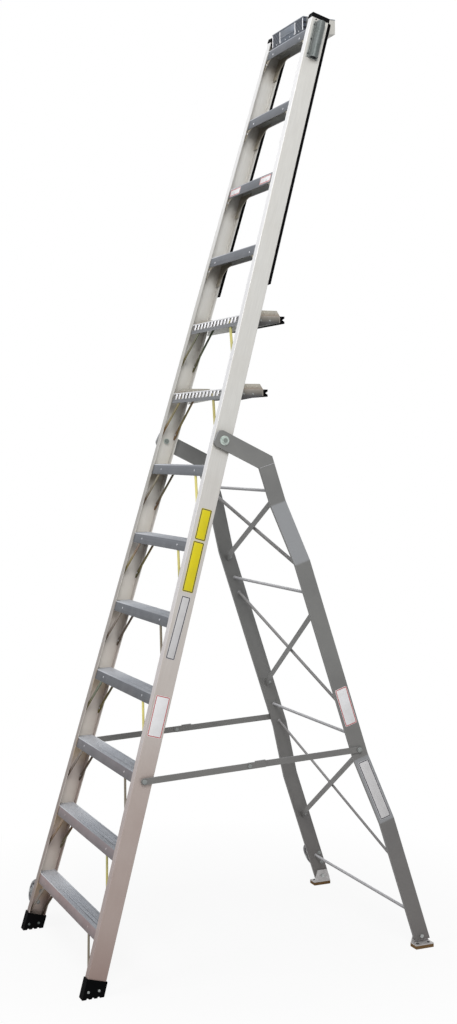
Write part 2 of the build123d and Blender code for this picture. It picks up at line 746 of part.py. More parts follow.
# Spreaders
FRONT_STUD_Y = SPREADER_HEIGHT * SIN_LEAN + MID_DEPTH * COS_LEAN + FRONT_Y
FRONT_STUD_Z = SPREADER_HEIGHT * COS_LEAN - MID_DEPTH * SIN_LEAN
REAR_STUD_Y, REAR_STUD_Z = leg_point(SPREADER_DROP)
REAR_STUD_Y += FRONT_Y
SPREADER_SPAN = math.hypot(REAR_STUD_Y - FRONT_STUD_Y, REAR_STUD_Z - FRONT_STUD_Z)
SPREADER_SLOPE = math.degrees(math.atan2(REAR_STUD_Z - FRONT_STUD_Z, REAR_STUD_Y - FRONT_STUD_Y))
FRONT_LINK = SPREADER_SPAN * SPREADER_FRONT_SHARE
REAR_LINK = SPREADER_SPAN - FRONT_LINK
LEG_OUTER_X = leg_inner(SPREADER_DROP + LINK_WIDTH) + LEG_THICKNESS
REAR_LINK_X = max(LEG_OUTER_X, rail_outer(SPREADER_HEIGHT - LINK_WIDTH)) + 2 * PLAY
FRONT_LINK_X = REAR_LINK_X + LINK_WALL + PLAY


def along_spreader(shape):
    """From the spreader's frame (Y along the links from the front stud) to the floor frame."""
    return Pos(0, FRONT_STUD_Y, FRONT_STUD_Z) * Rot(SPREADER_SLOPE, 0, 0) * shape


def rounded_bar(length, low_x, high_x):
    """A flat bar with round ends, from Y = 0 to its length, between two planes across X."""
    outline = Pos(length / 2, 0) * SlotCenterToCenter(length, LINK_WIDTH)
    return Pos(low_x, 0, 0) * extrude(Plane.YZ * outline, high_x - low_x)


def front_link():
    """The outer link: round at the rail, with a tail whose stop tab is bent in over the rear link."""
    half = LINK_WIDTH / 2
    low, high = FRONT_LINK_X, FRONT_LINK_X + LINK_WALL
    tail = (FRONT_LINK + LINK_TAIL - STOP_TAB_LENGTH, FRONT_LINK + LINK_TAIL)
    stop_low, stop_high = half + PLAY, half + PLAY + STOP_TAB_WALL
    link = block((low, high), (0, FRONT_LINK + LINK_TAIL), (-half, half)) + rod_x(half, low, high)
    link += block((low, high), tail, (0, stop_high))
    link += block((REAR_LINK_X - PLAY, high), tail, (stop_low, stop_high))
    link -= rod_x(STUD_DIAMETER / 2 + RUNNING, low - LINK_WALL, high + LINK_WALL)
    link -= rod_x(LINK_PIN_DIAMETER / 2 + RUNNING, low - LINK_WALL, high + LINK_WALL, FRONT_LINK)
    return along_spreader(link)


def rear_link():
    """The inner link, with the head of its rear pivot; it stops short of the leg's face."""
    bar = rounded_bar(REAR_LINK, REAR_LINK_X, REAR_LINK_X + LINK_WALL)
    bar += rod_x(STUD_HEAD / 2, REAR_LINK_X, REAR_LINK_X + LINK_WALL + STUD_HEAD_HEIGHT, REAR_LINK)
    bar -= rod_x(LINK_PIN_DIAMETER / 2 + RUNNING, REAR_LINK_X - LINK_WALL, REAR_LINK_X + 2 * LINK_WALL)
    return along_spreader(Pos(0, FRONT_LINK, 0) * bar)


def link_pin():
    """The middle rivet, seated on the front link."""
    low, high = REAR_LINK_X - PLAY, FRONT_LINK_X + LINK_WALL
    pin = rod_x(LINK_PIN_DIAMETER / 2, low - STUD_HEAD_HEIGHT / 2, high + STUD_HEAD_HEIGHT)
    pin += rod_x(LINK_PIN_HEAD / 2, high, high + STUD_HEAD_HEIGHT)
    pin += rod_x(LINK_PIN_HEAD / 2, low - STUD_HEAD_HEIGHT / 2, low)
    return along_spreader(Pos(0, FRONT_LINK, 0) * pin)


def front_stud():
    """The spreader's front pivot: a headed stud standing on the rail's web."""
    head = FRONT_LINK_X + LINK_WALL + PLAY
    stud = rod_x(STUD_DIAMETER / 2, web_inner(SPREADER_HEIGHT), head + STUD_HEAD_HEIGHT)
    stud += rod_x(STUD_HEAD / 2, head, head + STUD_HEAD_HEIGHT)
    boss = rod_x(STUD_HEAD / 2, web_inner(SPREADER_HEIGHT), FRONT_LINK_X - PLAY)
    return (Pos(0, FRONT_STUD_Y, FRONT_STUD_Z) * (stud + boss)) & rail_outside()


# Rear shoes
SHOE_Y = SHOE_FROM_FRONT + FRONT_Y
PLATE_TOP = SHOE_PAD_HEIGHT + SHOE_PLATE
SHOE_INNER_X = leg_inner(SHOE_DROP) - SHOE_SIDE_GAP
SHOE_OUTER_X = SHOE_INNER_X - SHOE_PLATE + SHOE_PAD_WIDTH


def shoe():
    """A bent shoe: a base over the pad and a tapered upright inside the leg."""
    half = SHOE_PAD_LENGTH / 2
    inner = SHOE_INNER_X - SHOE_PLATE
    body = block((inner, SHOE_OUTER_X), (SHOE_Y - half, SHOE_Y + half), (SHOE_PAD_HEIGHT, PLATE_TOP))
    high = PLATE_TOP + SHOE_UPRIGHT
    points = [
        (SHOE_Y - half, SHOE_PAD_HEIGHT),
        (SHOE_Y + half, SHOE_PAD_HEIGHT),
        (SHOE_Y + SHOE_UPRIGHT_TOP / 2, high),
        (SHOE_Y - SHOE_UPRIGHT_TOP / 2, high),
    ]
    body += side_plate(points, SHOE_PLATE, inner)
    low, high = inner - SHOE_PLATE, SHOE_INNER_X + SHOE_PLATE
    return body - rod_x(SHOE_BOLT / 2 + RUNNING, low, high, SHOE_Y, SHOE_PIVOT_HEIGHT)


def shoe_pad():
    half = SHOE_PAD_LENGTH / 2
    inner = SHOE_INNER_X - SHOE_PLATE
    pad = block((inner, SHOE_OUTER_X), (SHOE_Y - half, SHOE_Y + half), (0, SHOE_PAD_HEIGHT))
    return chamfer(pad.edges().group_by(Axis.Z)[0], SHOE_PAD_HEIGHT / 8)


def shoe_bolt():
    """The shoe's pivot bolt, its nut seated on the leg's outer face."""
    low = SHOE_INNER_X - SHOE_PLATE - PLAY
    face = leg_inner(SHOE_DROP) + LEG_THICKNESS
    hexagon = RegularPolygon(SHOE_BOLT_HEAD / 2, 6)
    bolt = rod_x(SHOE_BOLT / 2, low, face + SHOE_BOLT_HEAD_HEIGHT)
    bolt += Pos(low, 0, 0) * Rot(0, -90, 0) * extrude(hexagon, SHOE_BOLT_HEAD_HEIGHT)
    bolt += Pos(face, 0, 0) * Rot(0, 90, 0) * extrude(hexagon, SHOE_BOLT_HEAD_HEIGHT)
    return Pos(0, SHOE_Y, SHOE_PIVOT_HEIGHT) * bolt


# Wheels: each turns on an axle across the rail's depth, so the ladder rolls when tipped to its left
def wheel_fork():
    """A forked bracket standing on a face at X = 0, its axle along Y at the stand-off."""
    half = WHEEL_WIDTH / 2 + FORK_GAP
    outer = half + FORK_WALL
    body = block((0, FORK_WALL), (-outer, outer), (-FORK_HEIGHT / 2, FORK_HEIGHT / 2))
    ear = make_face(
        Polyline(
            (0, -FORK_HEIGHT / 2),
            (WHEEL_STAND_OFF, -FORK_NOSE),
            (WHEEL_STAND_OFF, FORK_NOSE),
            (0, FORK_HEIGHT / 2),
            close=True,
        )
    )
    ear += Pos(WHEEL_STAND_OFF, 0) * Circle(FORK_NOSE)
    body += depth_plate(ear, half, outer) + depth_plate(ear, -outer, -half)
    return body - rod_y(AXLE_DIAMETER / 2 + RUNNING, -2 * outer, 2 * outer, WHEEL_STAND_OFF)


def axle_bolt():
    outer = WHEEL_WIDTH / 2 + FORK_GAP + FORK_WALL
    bolt = rod_y(AXLE_DIAMETER / 2, -outer, outer, WHEEL_STAND_OFF)
    head = Pos(WHEEL_STAND_OFF, -outer, 0) * Rot(90, 0, 0)
    nut = Pos(WHEEL_STAND_OFF, outer, 0) * Rot(-90, 0, 0)
    hexagon = extrude(RegularPolygon(AXLE_HEAD / 2, 6), AXLE_HEAD_HEIGHT)
    return bolt + head * hexagon + nut * hexagon


def wheel_hub():
    """A moulded disc with a long boss, bored for the axle."""
    bore, rim = AXLE_DIAMETER / 2 + RUNNING, WHEEL_DIAMETER / 2 - WHEEL_TREAD
    face, web = WHEEL_WIDTH / 2 + FORK_GAP - PLAY, HUB_WEB / 2
    half = [(bore, face), (HUB_BOSS / 2, face), (HUB_BOSS / 2, web), (rim, web)]
    return spun(half + [(radius, -width) for radius, width in reversed(half)])


def wheel_tyre():
    """A solid tyre with bevelled shoulders."""
    rim, outer, half = WHEEL_DIAMETER / 2 - WHEEL_TREAD, WHEEL_DIAMETER / 2, WHEEL_WIDTH / 2
    side = [(rim, half), (outer - TYRE_SHOULDER, half), (outer, half - TYRE_SHOULDER)]
    return spun(side + [(radius, -width) for radius, width in reversed(side)])


def spun(points):
    """A section in (radius, width) turned about the axle's line."""
    section = make_face(Polyline(*points, close=True))
    return Pos(WHEEL_STAND_OFF, 0, 0) * revolve(section, Axis.Y)


def at_front_wheel(shape):
    return left(on_right_rail(Pos(0, MID_DEPTH, FRONT_WHEEL_HEIGHT) * shape))


def at_rear_wheel(shape):
    drop = SHOE_DROP - REAR_WHEEL_RISE
    place = Pos(leg_inner(drop) + LEG_THICKNESS, LEG_OFFSET + REAR_WHEEL_BACK, -drop)
    return left(rear(place * shape))


def pair(name, shape):
    return {f"{name}_right": shape, f"{name}_left": left(shape)}


def sub_parts():
    plain = [n for n in range(1, STEP_COUNT + 1) if n not in PLATFORM_STEPS]
    strapped = [n for n in range(1, GUSSETED_FROM)]
    gusseted = range(GUSSETED_FROM, STEP_COUNT + 1)
    nodes = {
        **pair("front_rail", front_rail()),
        **{f"tread_{n:02d}": tread(n) for n in plain},
        **{f"platform_{n:02d}": platform(n) for n in PLATFORM_STEPS},
        "platform_side_plates": bundle(*[both(platform_side_plate(n)) for n in PLATFORM_STEPS]),
        "platform_brackets": bundle(*[both(platform_bracket(n)) for n in PLATFORM_STEPS]),
        "platform_bumpers": bundle(*[platform_bumper(n) for n in PLATFORM_STEPS]),
        **pair("knee_braces", bundle(*braces(knee_brace, strapped))),
        **pair("corner_gussets", bundle(*braces(gusset, gusseted))),
        "tool_tray": tool_tray(),
        **pair("front_boot", boot()),
        "rail_caps": both(rail_cap()),
        "edge_trims": both(edge_trim()),
        **pair("accessory_socket", accessory_socket()),
        "fold_pivot_bolts": both(pivot_bolt()),
        "fold_pivot_bushes": both(pivot_bush()),
        "spreader_studs": both(front_stud()),
        **pair("rear_arm", rear_arm()),
        **pair("rear_leg", rear_leg()),
        "cross_rods": cross_rods(),
        "cross_brace_rods": cross_brace_rods(),
        "cross_brace_straps": cross_brace_straps(),
        **pair("spreader_front_link", front_link()),
        **pair("spreader_rear_link", rear_link()),
        **pair("spreader_pin", link_pin()),
        **pair("rear_shoe", shoe()),
        **pair("shoe_pad", shoe_pad()),
        "shoe_bolts": both(shoe_bolt()),
        "front_wheel_fork": at_front_wheel(wheel_fork()),
        "front_wheel_axle": at_front_wheel(axle_bolt()),
        "front_wheel_hub": at_front_wheel(wheel_hub()),
        "front_wheel_tyre": at_front_wheel(wheel_tyre()),
        "rear_wheel_fork": at_rear_wheel(wheel_fork()),
        "rear_wheel_axle": at_rear_wheel(axle_bolt()),
        "rear_wheel_hub": at_rear_wheel(wheel_hub()),
        "rear_wheel_tyre": at_rear_wheel(wheel_tyre()),
    }
    return nodes


def main():
    os.makedirs("parts", exist_ok=True)
    for name, shape in sub_parts().items():
        export_step(shape, f"parts/{name}.step")
    print("fold pivot", PIVOT_Y, PIVOT_Z)
    print("spreader front stud", FRONT_STUD_Y, FRONT_STUD_Z, "rear stud", REAR_STUD_Y, REAR_STUD_Z)
    print("spreader links", FRONT_LINK, REAR_LINK, "slope", SPREADER_SLOPE)
    print("shoe pivot", SHOE_Y, SHOE_PIVOT_HEIGHT)


main()
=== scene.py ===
# %% [markdown]
# Aircraft maintenance ladder: the looks.
#
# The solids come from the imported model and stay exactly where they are. This lesson gives every one of
# them a finish, and adds the small things that a maker would fit last: rivets, bolts, weld beads, hems,
# grip teeth and plain vinyl panels. Each new piece is a surface worked out with numpy, and it rides on
# the body that carries it, so it follows when the ladder folds.

# %% Load the frame
import json
from collections import namedtuple

import bpy
import numpy as np
from mathutils import Matrix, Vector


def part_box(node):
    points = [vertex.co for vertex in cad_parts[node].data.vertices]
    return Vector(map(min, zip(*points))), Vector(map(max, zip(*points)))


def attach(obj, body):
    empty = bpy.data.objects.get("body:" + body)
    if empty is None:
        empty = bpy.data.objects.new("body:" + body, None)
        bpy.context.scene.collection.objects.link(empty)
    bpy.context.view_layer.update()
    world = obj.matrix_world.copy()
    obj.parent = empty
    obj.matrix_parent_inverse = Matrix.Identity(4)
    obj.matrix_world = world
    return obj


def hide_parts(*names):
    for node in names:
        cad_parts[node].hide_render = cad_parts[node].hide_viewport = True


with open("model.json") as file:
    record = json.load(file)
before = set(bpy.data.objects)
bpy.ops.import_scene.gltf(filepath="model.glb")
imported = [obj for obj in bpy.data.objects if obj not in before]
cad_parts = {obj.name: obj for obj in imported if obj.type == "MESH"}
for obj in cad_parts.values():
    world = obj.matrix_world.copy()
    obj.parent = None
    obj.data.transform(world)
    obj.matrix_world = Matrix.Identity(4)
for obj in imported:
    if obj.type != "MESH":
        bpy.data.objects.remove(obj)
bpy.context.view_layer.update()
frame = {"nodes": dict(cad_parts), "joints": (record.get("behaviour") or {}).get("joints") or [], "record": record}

node_slots = {part["node"]: part["material_slot"] for part in frame["record"]["subparts"]}
joint_at = {joint["name"]: np.array(joint["pos_m"]) for joint in frame["joints"]}
print("nodes", len(frame["nodes"]), "slots", sorted(set(node_slots.values())))

# %% [markdown]
# Where things are. The ladder has three slanted frames: the climbing section leans back, each rail tapers
# inside it, and the rear support leans forward from the fold pivots. A rivet is easiest to place in the
# frame of the piece that it goes through, so each frame is kept as an origin and three axes, and one
# product of arrays carries any number of points into the model. The pivots come from the joints, and the
# other sizes are those of the solids, in metres.

# %% Frames of the climbing section, the rails and the rear support
LEAN, TAPER, LEG_LEAN = np.radians([16.0, 3.3, 18.0])
FOOT_HALF_WIDTH = 0.4415
SHOE_PIVOT = joint_at["shoe_right_swivel"]
FOLD_PIVOT = joint_at["rear_fold"] * [0.0, 1.0, 1.0]
FRONT_Y = -SHOE_PIVOT[1]
RIGHT, BACKWARD, UPWARD = np.eye(3)
FRONT = -BACKWARD
SIDES = {"right": 1, "left": -1}

Place = namedtuple("Place", "origin axes")


def climbing_place():
    """X across, then into the depth, then along the rails: a turn about X by the lean."""
    depth = [0.0, np.cos(LEAN), -np.sin(LEAN)]
    along = [0.0, np.sin(LEAN), np.cos(LEAN)]
    return Place(np.array([0.0, FRONT_Y, 0.0]), np.array([RIGHT, depth, along]))


def rail_place(side):
    """Out of the web, into the depth and up the rail: the climbing frame turned by the taper."""
    base = climbing_place()
    out = np.array([side * np.cos(TAPER), 0.0, np.sin(TAPER)]) @ base.axes
    up = np.array([-side * np.sin(TAPER), 0.0, np.cos(TAPER)]) @ base.axes
    return Place(base.origin + side * FOOT_HALF_WIDTH * RIGHT, np.array([out, base.axes[1], up]))


def rear_place():
    """X across, to the rear and up the legs, from the line of the fold pivots."""
    back = [0.0, np.cos(LEG_LEAN), np.sin(LEG_LEAN)]
    rise = [0.0, -np.sin(LEG_LEAN), np.cos(LEG_LEAN)]
    return Place(FOLD_PIVOT, np.array([RIGHT, back, rise]))


def located(place, *coordinates):
    """Points given along a place's own axes, one array or number for each axis, carried into the model."""
    spread_out = np.broadcast_arrays(*[np.atleast_1d(np.asarray(value, float)) for value in coordinates])
    return place.origin + np.stack([values.ravel() for values in spread_out], axis=1) @ place.axes


LADDER, REAR = climbing_place(), rear_place()
RAILS = {side: rail_place(side) for side in SIDES.values()}
FLOOR = Place(np.zeros(3), np.eye(3))
ACROSS, DEPTH, ALONG = LADDER.axes
REARWARD, UP_LEGS = REAR.axes[1:]
FRONT_PLANE = LADDER.origin @ DEPTH
print("fold pivot", FOLD_PIVOT.round(4), "front foot line", round(FRONT_Y, 4))

# %% [markdown]
# From arrays to shapes. Most small parts are one short profile turned about an axis, or a ring of points
# carried along a path, and then stamped many times. A shape is kept as its points and its faces, and a
# stamp multiplies it by every frame at once. Joining all stamps of one kind into one mesh keeps the list
# of pieces short, as a bag of rivets has one entry in a parts list.

# %% Shapes from grids
Shape = namedtuple("Shape", "points faces")


def round_angles(count):
    """Even steps round a circle."""
    return np.arange(count) * 2 * np.pi / count


def grid_faces(rows, columns, wrap_rows=False):
    """Quads between neighbouring rows and columns of a grid numbered row by row; columns close up."""
    row = np.arange(rows if wrap_rows else rows - 1)
    r, c = (index.ravel() for index in np.meshgrid(row, np.arange(columns), indexing="ij"))
    r2, c2 = (r + 1) % rows, (c + 1) % columns
    corners = [r * columns + c, r * columns + c2, r2 * columns + c2, r2 * columns + c]
    return np.stack(corners, axis=1).tolist()


def skinned(rings, closed=False):
    """A tube through rings of equal count: point (i, j) is point j of ring i. An open tube has its two ends
    capped; a closed one joins its last ring to its first."""
    rows, columns = rings.shape[:2]
    faces = grid_faces(rows, columns, wrap_rows=closed)
    if not closed:
        last = (rows - 1) * columns
        faces += [list(range(columns))[::-1], list(range(last, last + columns))]
    return Shape(rings.reshape(-1, 3), faces)


def turned(profile, sides):
    """A turned shape: the profile gives (radius, height) from the bottom up, and ring i is a circle of that
    radius at that height. Six sides give a hexagon."""
    radius, height = np.asarray(profile, float).T
    angle = round_angles(sides)
    circle = np.stack([np.cos(angle), np.sin(angle), np.zeros(sides)], axis=1)
    return skinned(radius[:, None, None] * circle + height[:, None, None] * UPWARD)


prism = turned([[1.0, 0.0], [1.0, 1.0]], 6)
print("six-sided prism", len(prism.faces), "faces")

# %% Plates and rods
CORNER_POINTS, ROD_SIDES = 5, 8


def rounded_ring(half_width, half_height, corner, inset, height):
    """A rectangle with round corners at a height: each quarter circle sits at its corner's centre, and the
    inset is taken off its radius."""
    quarter = np.linspace(0.0, np.pi / 2, CORNER_POINTS)
    angle = (quarter[None, :] + np.arange(4)[:, None] * np.pi / 2).ravel()
    signs = np.repeat([[1, 1], [-1, 1], [-1, -1], [1, -1]], CORNER_POINTS, axis=0)
    centres = signs * [half_width - corner, half_height - corner]
    arcs = np.stack([np.cos(angle), np.sin(angle)], axis=1) * (corner - inset)
    return np.column_stack([centres + arcs, np.full(len(angle), height)])


def slab(half_width, half_height, corner, profile, closed=False):
    """A rounded plate: the profile gives (inset, height) from the bottom up, and ring i is the outline with
    that inset at that height. A closed profile leaves the middle open, as a frame does."""
    rings = [rounded_ring(half_width, half_height, corner, inset, height) for inset, height in profile]
    return skinned(np.stack(rings), closed)


def rod(path, outs, ups, radius, closed=False):
    """A round rod along a path: ring i is point i plus the radius there times the cosine of its out and the
    sine of its up. At a corner, a longer out stretches the ring along the mitre."""
    outs, ups = np.broadcast_to(outs, path.shape), np.broadcast_to(ups, path.shape)
    radius = np.broadcast_to(radius, len(path))
    angle = round_angles(ROD_SIDES)[None, :, None]
    circle = np.cos(angle) * outs[:, None] + np.sin(angle) * ups[:, None]
    return skinned(path[:, None] + radius[:, None, None] * circle, closed)


print("rod of two rings", len(rod(np.array([RIGHT, -RIGHT]), BACKWARD, UPWARD, 1.0).faces), "faces")


# %% Stamps
def stamped(shape, centres, normals, tangents):
    """Copies of a shape: its Z along each normal, its X along each tangent, its Y square to both."""
    normals = np.broadcast_to(normals, np.shape(centres))
    tangents = np.broadcast_to(tangents, np.shape(centres))
    frames = np.stack([tangents, np.cross(normals, tangents), normals], axis=1)
    points = np.einsum("pk,nkd->npd", shape.points, frames) + np.asarray(centres)[:, None, :]
    starts = np.arange(len(centres)) * len(shape.points)
    faces = [[index + start for index in face] for start in starts.tolist() for face in shape.faces]
    return Shape(points.reshape(-1, 3), faces)


def joined(*shapes):
    """Several shapes as one, with the faces renumbered."""
    starts = np.cumsum([0] + [len(shape.points) for shape in shapes]).tolist()
    faces = [[i + start for i in face] for shape, start in zip(shapes, starts) for face in shape.faces]
    return Shape(np.concatenate([shape.points for shape in shapes]), faces)


print("two stamped prisms", len(stamped(prism, [FRONT, BACKWARD], UPWARD, RIGHT).faces), "faces")

# %% [markdown]
# Colours are written as they look, in the usual 0 to 255 screen values, and turned into the linear values
# that a shader wants. A material is a Principled shader with a few nodes in front of it. A socket knows
# the node tree that it belongs to, so the helpers take sockets and numbers, and read almost like sums.

# %% Screen colours
def screen(red, green, blue):
    """A screen colour as linear light: the sRGB curve undone."""
    value = np.array([red, green, blue]) / 255.0
    linear = np.where(value <= 0.04045, value / 12.92, ((value + 0.055) / 1.055) ** 2.4)
    return (*linear.tolist(), 1.0)


print("grey card", screen(128, 128, 128)[0])


# %% Helpers for nodes and links
def is_socket(value):
    """Whether a value comes from a node, or else is a plain number or colour."""
    return isinstance(value, bpy.types.NodeSocket)


def feed(socket, value):
    """A socket linked to another one, or set to a value."""
    if is_socket(value):
        socket.id_data.links.new(value, socket)
    else:
        socket.default_value = value


def add_node(tree, kind, inputs=None, **settings):
    """A new node with its settings and its unlinked or linked inputs."""
    made = tree.nodes.new(kind)
    for key, value in settings.items():
        setattr(made, key, value)
    for key, value in (inputs or {}).items():
        feed(made.inputs[key], value)
    return made


def tree_of(values):
    """The node tree of the first socket among some values."""
    return next(value.id_data for value in values if is_socket(value))


# %% Helpers for sums, spans and noise
def computed(operation, *values):
    """One step of arithmetic on values, at least one of them a socket."""
    inputs = dict(enumerate(values))
    return add_node(tree_of(values), "ShaderNodeMath", inputs, operation=operation).outputs[0]


def reckoned(operation, *vectors, output="Value"):
    """One step of arithmetic on vectors, which gives a value such as a length, or another vector."""
    inputs = dict(enumerate(vectors))
    return add_node(tree_of(vectors), "ShaderNodeVectorMath", inputs, operation=operation).outputs[output]


def measured(vector, direction):
    """How far a vector reaches along a direction."""
    return reckoned("DOT_PRODUCT", vector, tuple(direction))


def spread(value, low, high, to_low=0.0, to_high=1.0):
    """A value stretched so that low and high become the two ends."""
    ends = {"Value": value, "From Min": low, "From Max": high, "To Min": to_low, "To Max": to_high}
    return add_node(value.id_data, "ShaderNodeMapRange", ends).outputs["Result"]


def noise(place, scale, detail, **more):
    """Cloudy noise: the scale sets how fine it is, and the detail how ragged."""
    inputs = {"Vector": place, "Scale": scale, "Detail": detail, **more}
    return add_node(place.id_data, "ShaderNodeTexNoise", inputs).outputs[0]


# %% Helpers for masks and veils
def overlap(*masks):
    """Where several masks hold at once: their product."""
    product = masks[0]
    for mask in masks[1:]:
        product = computed("MULTIPLY", product, mask)
    return product


def facing(place, direction, low, high):
    """1 on faces that look along a direction, 0 on the others: the normal's share of that direction."""
    normal = add_node(place.id_data, "ShaderNodeNewGeometry").outputs["True Normal"]
    return spread(measured(normal, direction), low, high)


def blended(mask, first, second):
    """Two colours mixed by a mask."""
    inputs = {0: mask, 6: first, 7: second}
    return add_node(mask.id_data, "ShaderNodeMix", inputs, data_type="RGBA").outputs[2]


def veiled(colour, *veils):
    """A colour under veils of others, laid on in turn. Each is a mask, a share and a screen colour: the mask
    times the share is how much of the veil shows."""
    for mask, share, veil in veils:
        colour = blended(computed("MULTIPLY", mask, share), colour, screen(*veil))
    return colour


# %% [markdown]
# Effects that many finishes share. Drawn and rolled aluminium has long fine lines from the die; handled
# metal has cloudy smudges; cast and plated skins are speckled; paint and bare metal rub bright along
# their edges; dirt and painted shade gather in corners; and near the ground everything takes a painted
# shade and a warm floor reflection. Each is built once as a group that gives a mask between 0 and 1, and
# every material places it with its own values.

# %% The start, the end and the use of a group
def start_group(name, *values, vectors=("Vector",)):
    """An empty shader node group; returns its input sockets by name, and the socket of its mask."""
    tree = bpy.data.node_groups.new(name, "ShaderNodeTree")
    for kind, sockets in (("NodeSocketVector", vectors), ("NodeSocketFloat", values)):
        for socket in sockets:
            tree.interface.new_socket(socket, in_out="INPUT", socket_type=kind)
    tree.interface.new_socket("Mask", in_out="OUTPUT", socket_type="NodeSocketFloat")
    return tree.nodes.new("NodeGroupInput").outputs, tree.nodes.new("NodeGroupOutput").inputs["Mask"]


def end_group(mask, value):
    """The finished value, led out of the group."""
    feed(mask, value)
    print("group", mask.id_data.name)
    return mask.id_data


def masked_by(group, place, **inputs):
    """A group placed in a material with its own values; returns its mask."""
    inputs["Vector"] = place
    return add_node(place.id_data, "ShaderNodeGroup", inputs, node_tree=group).outputs["Mask"]


# %% Draw lines, smudges and speckle
def draw_lines_group():
    """Noise stretched along one axis: the stretch vector holds the scale along each axis."""
    given, mask = start_group("draw lines", vectors=("Vector", "Stretch"))
    scaled = reckoned("MULTIPLY", given["Vector"], given["Stretch"], output="Vector")
    return end_group(mask, spread(noise(scaled, 1.0, 5.0), 0.30, 0.70))


def smudge_group():
    """Soft clouds: noise of a size, cut so that patches stand apart."""
    given, mask = start_group("smudges", "Scale")
    clouds = noise(given["Vector"], given["Scale"], 6.0, Roughness=0.62, Distortion=0.35)
    return end_group(mask, spread(clouds, 0.36, 0.68))


def speckle_group():
    """Small round spots: nearness to the points of a cell pattern, thinned by the amount."""
    given, mask = start_group("speckle", "Scale", "Amount")
    cell_inputs = {"Vector": given["Vector"], "Scale": given["Scale"]}
    cells = add_node(mask.id_data, "ShaderNodeTexVoronoi", cell_inputs)
    near = computed("SUBTRACT", given["Amount"], cells.outputs["Distance"])
    return end_group(mask, spread(near, 0.0, 0.12))


DRAW_LINES, SMUDGES, SPECKLE = draw_lines_group(), smudge_group(), speckle_group()


# %% Edge wear, corner dirt and ground film
def edge_wear_group():
    """Where a softened normal leaves the true one there is an edge; noise breaks the line up."""
    given, mask = start_group("edge wear", "Radius", "Scale")
    soft = add_node(mask.id_data, "ShaderNodeBevel", {"Radius": given["Radius"]}, samples=4).outputs[0]
    true = add_node(mask.id_data, "ShaderNodeNewGeometry").outputs["True Normal"]
    edge = spread(computed("SUBTRACT", 1.0, reckoned("DOT_PRODUCT", soft, true)), 0.02, 0.22)
    broken = spread(noise(given["Vector"], given["Scale"], 4.0), 0.38, 0.60)
    return end_group(mask, overlap(edge, broken))


def corner_dirt_and_shade_group():
    """Where near faces crowd round a point it is a corner, and dirt and painted shade stay there in clouds."""
    given, mask = start_group("corner dirt and shade", "Reach", "Scale")
    around = add_node(mask.id_data, "ShaderNodeAmbientOcclusion", {"Distance": given["Reach"]}, samples=4)
    crowded = spread(around.outputs["AO"], 0.95, 0.45)
    cloudy = spread(noise(given["Vector"], given["Scale"], 5.0), 0.25, 0.70, 0.35, 1.0)
    return end_group(mask, overlap(crowded, cloudy))


def low_shade_group():
    """Painted shade and floor reflection, more towards the ground: 1 at the low height, 0 at the high one, with a
    cloudy border.
    """
    given, mask = start_group("low shade", "Low", "High")
    wobble = computed("MULTIPLY", computed("SUBTRACT", noise(given["Vector"], 2.2, 5.0), 0.5), 0.7)
    height = computed("ADD", measured(given["Vector"], UPWARD), wobble)
    return end_group(mask, spread(height, given["High"], given["Low"]))


EDGE_WEAR, CORNER_DIRT_AND_SHADE, LOW_SHADE = edge_wear_group(), corner_dirt_and_shade_group(), low_shade_group()

# %% [markdown]
# Every finish starts the same way: a material, its Principled shader and the Object coordinates, and ends
# with a colour, a roughness and a fine relief. The steps between are what tells one metal from another.
# A veil's mask often runs between two places, such as two heights. Such a pair is named as a span: the
# mask is 0 at its first place and 1 at its second.

# %% The start and end of a finish
FINISHES = {}
Finish = namedtuple("Finish", "name material shader place")


def start_finish(name, metallic, specular=0.5):
    """A material with its shader and the coordinates that its patterns read."""
    material = bpy.data.materials.new(name)
    material.use_nodes = True
    shader = material.node_tree.nodes["Principled BSDF"]
    feed(shader.inputs["Metallic"], metallic)
    feed(shader.inputs["Specular IOR Level"], specular)
    place = add_node(material.node_tree, "ShaderNodeTexCoord").outputs["Object"]
    return Finish(name, material, shader, place)


def end_finish(finish, colour, rough_mask, rough_low, rough_high, height, relief, strength):
    """The colour, a roughness that follows a mask between two values, and a relief from a height."""
    bump_inputs = {"Height": height, "Distance": relief, "Strength": strength}
    bump = add_node(colour.id_data, "ShaderNodeBump", bump_inputs)
    feed(finish.shader.inputs["Base Color"], colour)
    feed(finish.shader.inputs["Roughness"], spread(rough_mask, 0.0, 1.0, rough_low, rough_high))
    feed(finish.shader.inputs["Normal"], bump.outputs[0])
    FINISHES[finish.name] = finish.material
    print("finish", finish.name)


# %% [markdown]
# Rails. Extruded aluminium channel, mill finish: light and neutral, with faint draw lines along its length
# and cloudy handling marks. The front flanges carry a painted highlight, the right one most, and near the
# top both are painted almost white. Lower down the left flange is painted in shade, and the left web
# carries a painted sheen just above each tread. Under a tread that web carries stain and painted shade,
# brown on the upper steps, and a painted ochre bounce light on the lower ones. Dirt and painted shade sit
# in the corners, and a painted reddish floor reflection and shade grow towards the feet.

# %% Where the treads are, for the finishes
STEP_PITCH, FIRST_STEP, RAIL_DEPTH, PLATFORM_RISE = 0.3048, 0.258, 0.0762, 0.008
TOP_PITCH = STEP_PITCH * np.cos(LEAN)


def above_tread(place, steps=1):
    """The distance along the rails above the top of the tread below, starting again every so many steps."""
    along = computed("SUBTRACT", measured(place, ALONG), LADDER.origin @ ALONG + FIRST_STEP)
    return computed("FLOORED_MODULO", along, steps * STEP_PITCH)


def above_top(place, rise=0.0):
    """The height above a tread's level top, raised a little for a platform, starting again at each step."""
    over = computed("SUBTRACT", measured(place, UPWARD), FIRST_STEP * np.cos(LEAN) + rise)
    return computed("FLOORED_MODULO", over, TOP_PITCH)


print("step pitch", STEP_PITCH, "along the rails,", round(TOP_PITCH, 4), "upright")

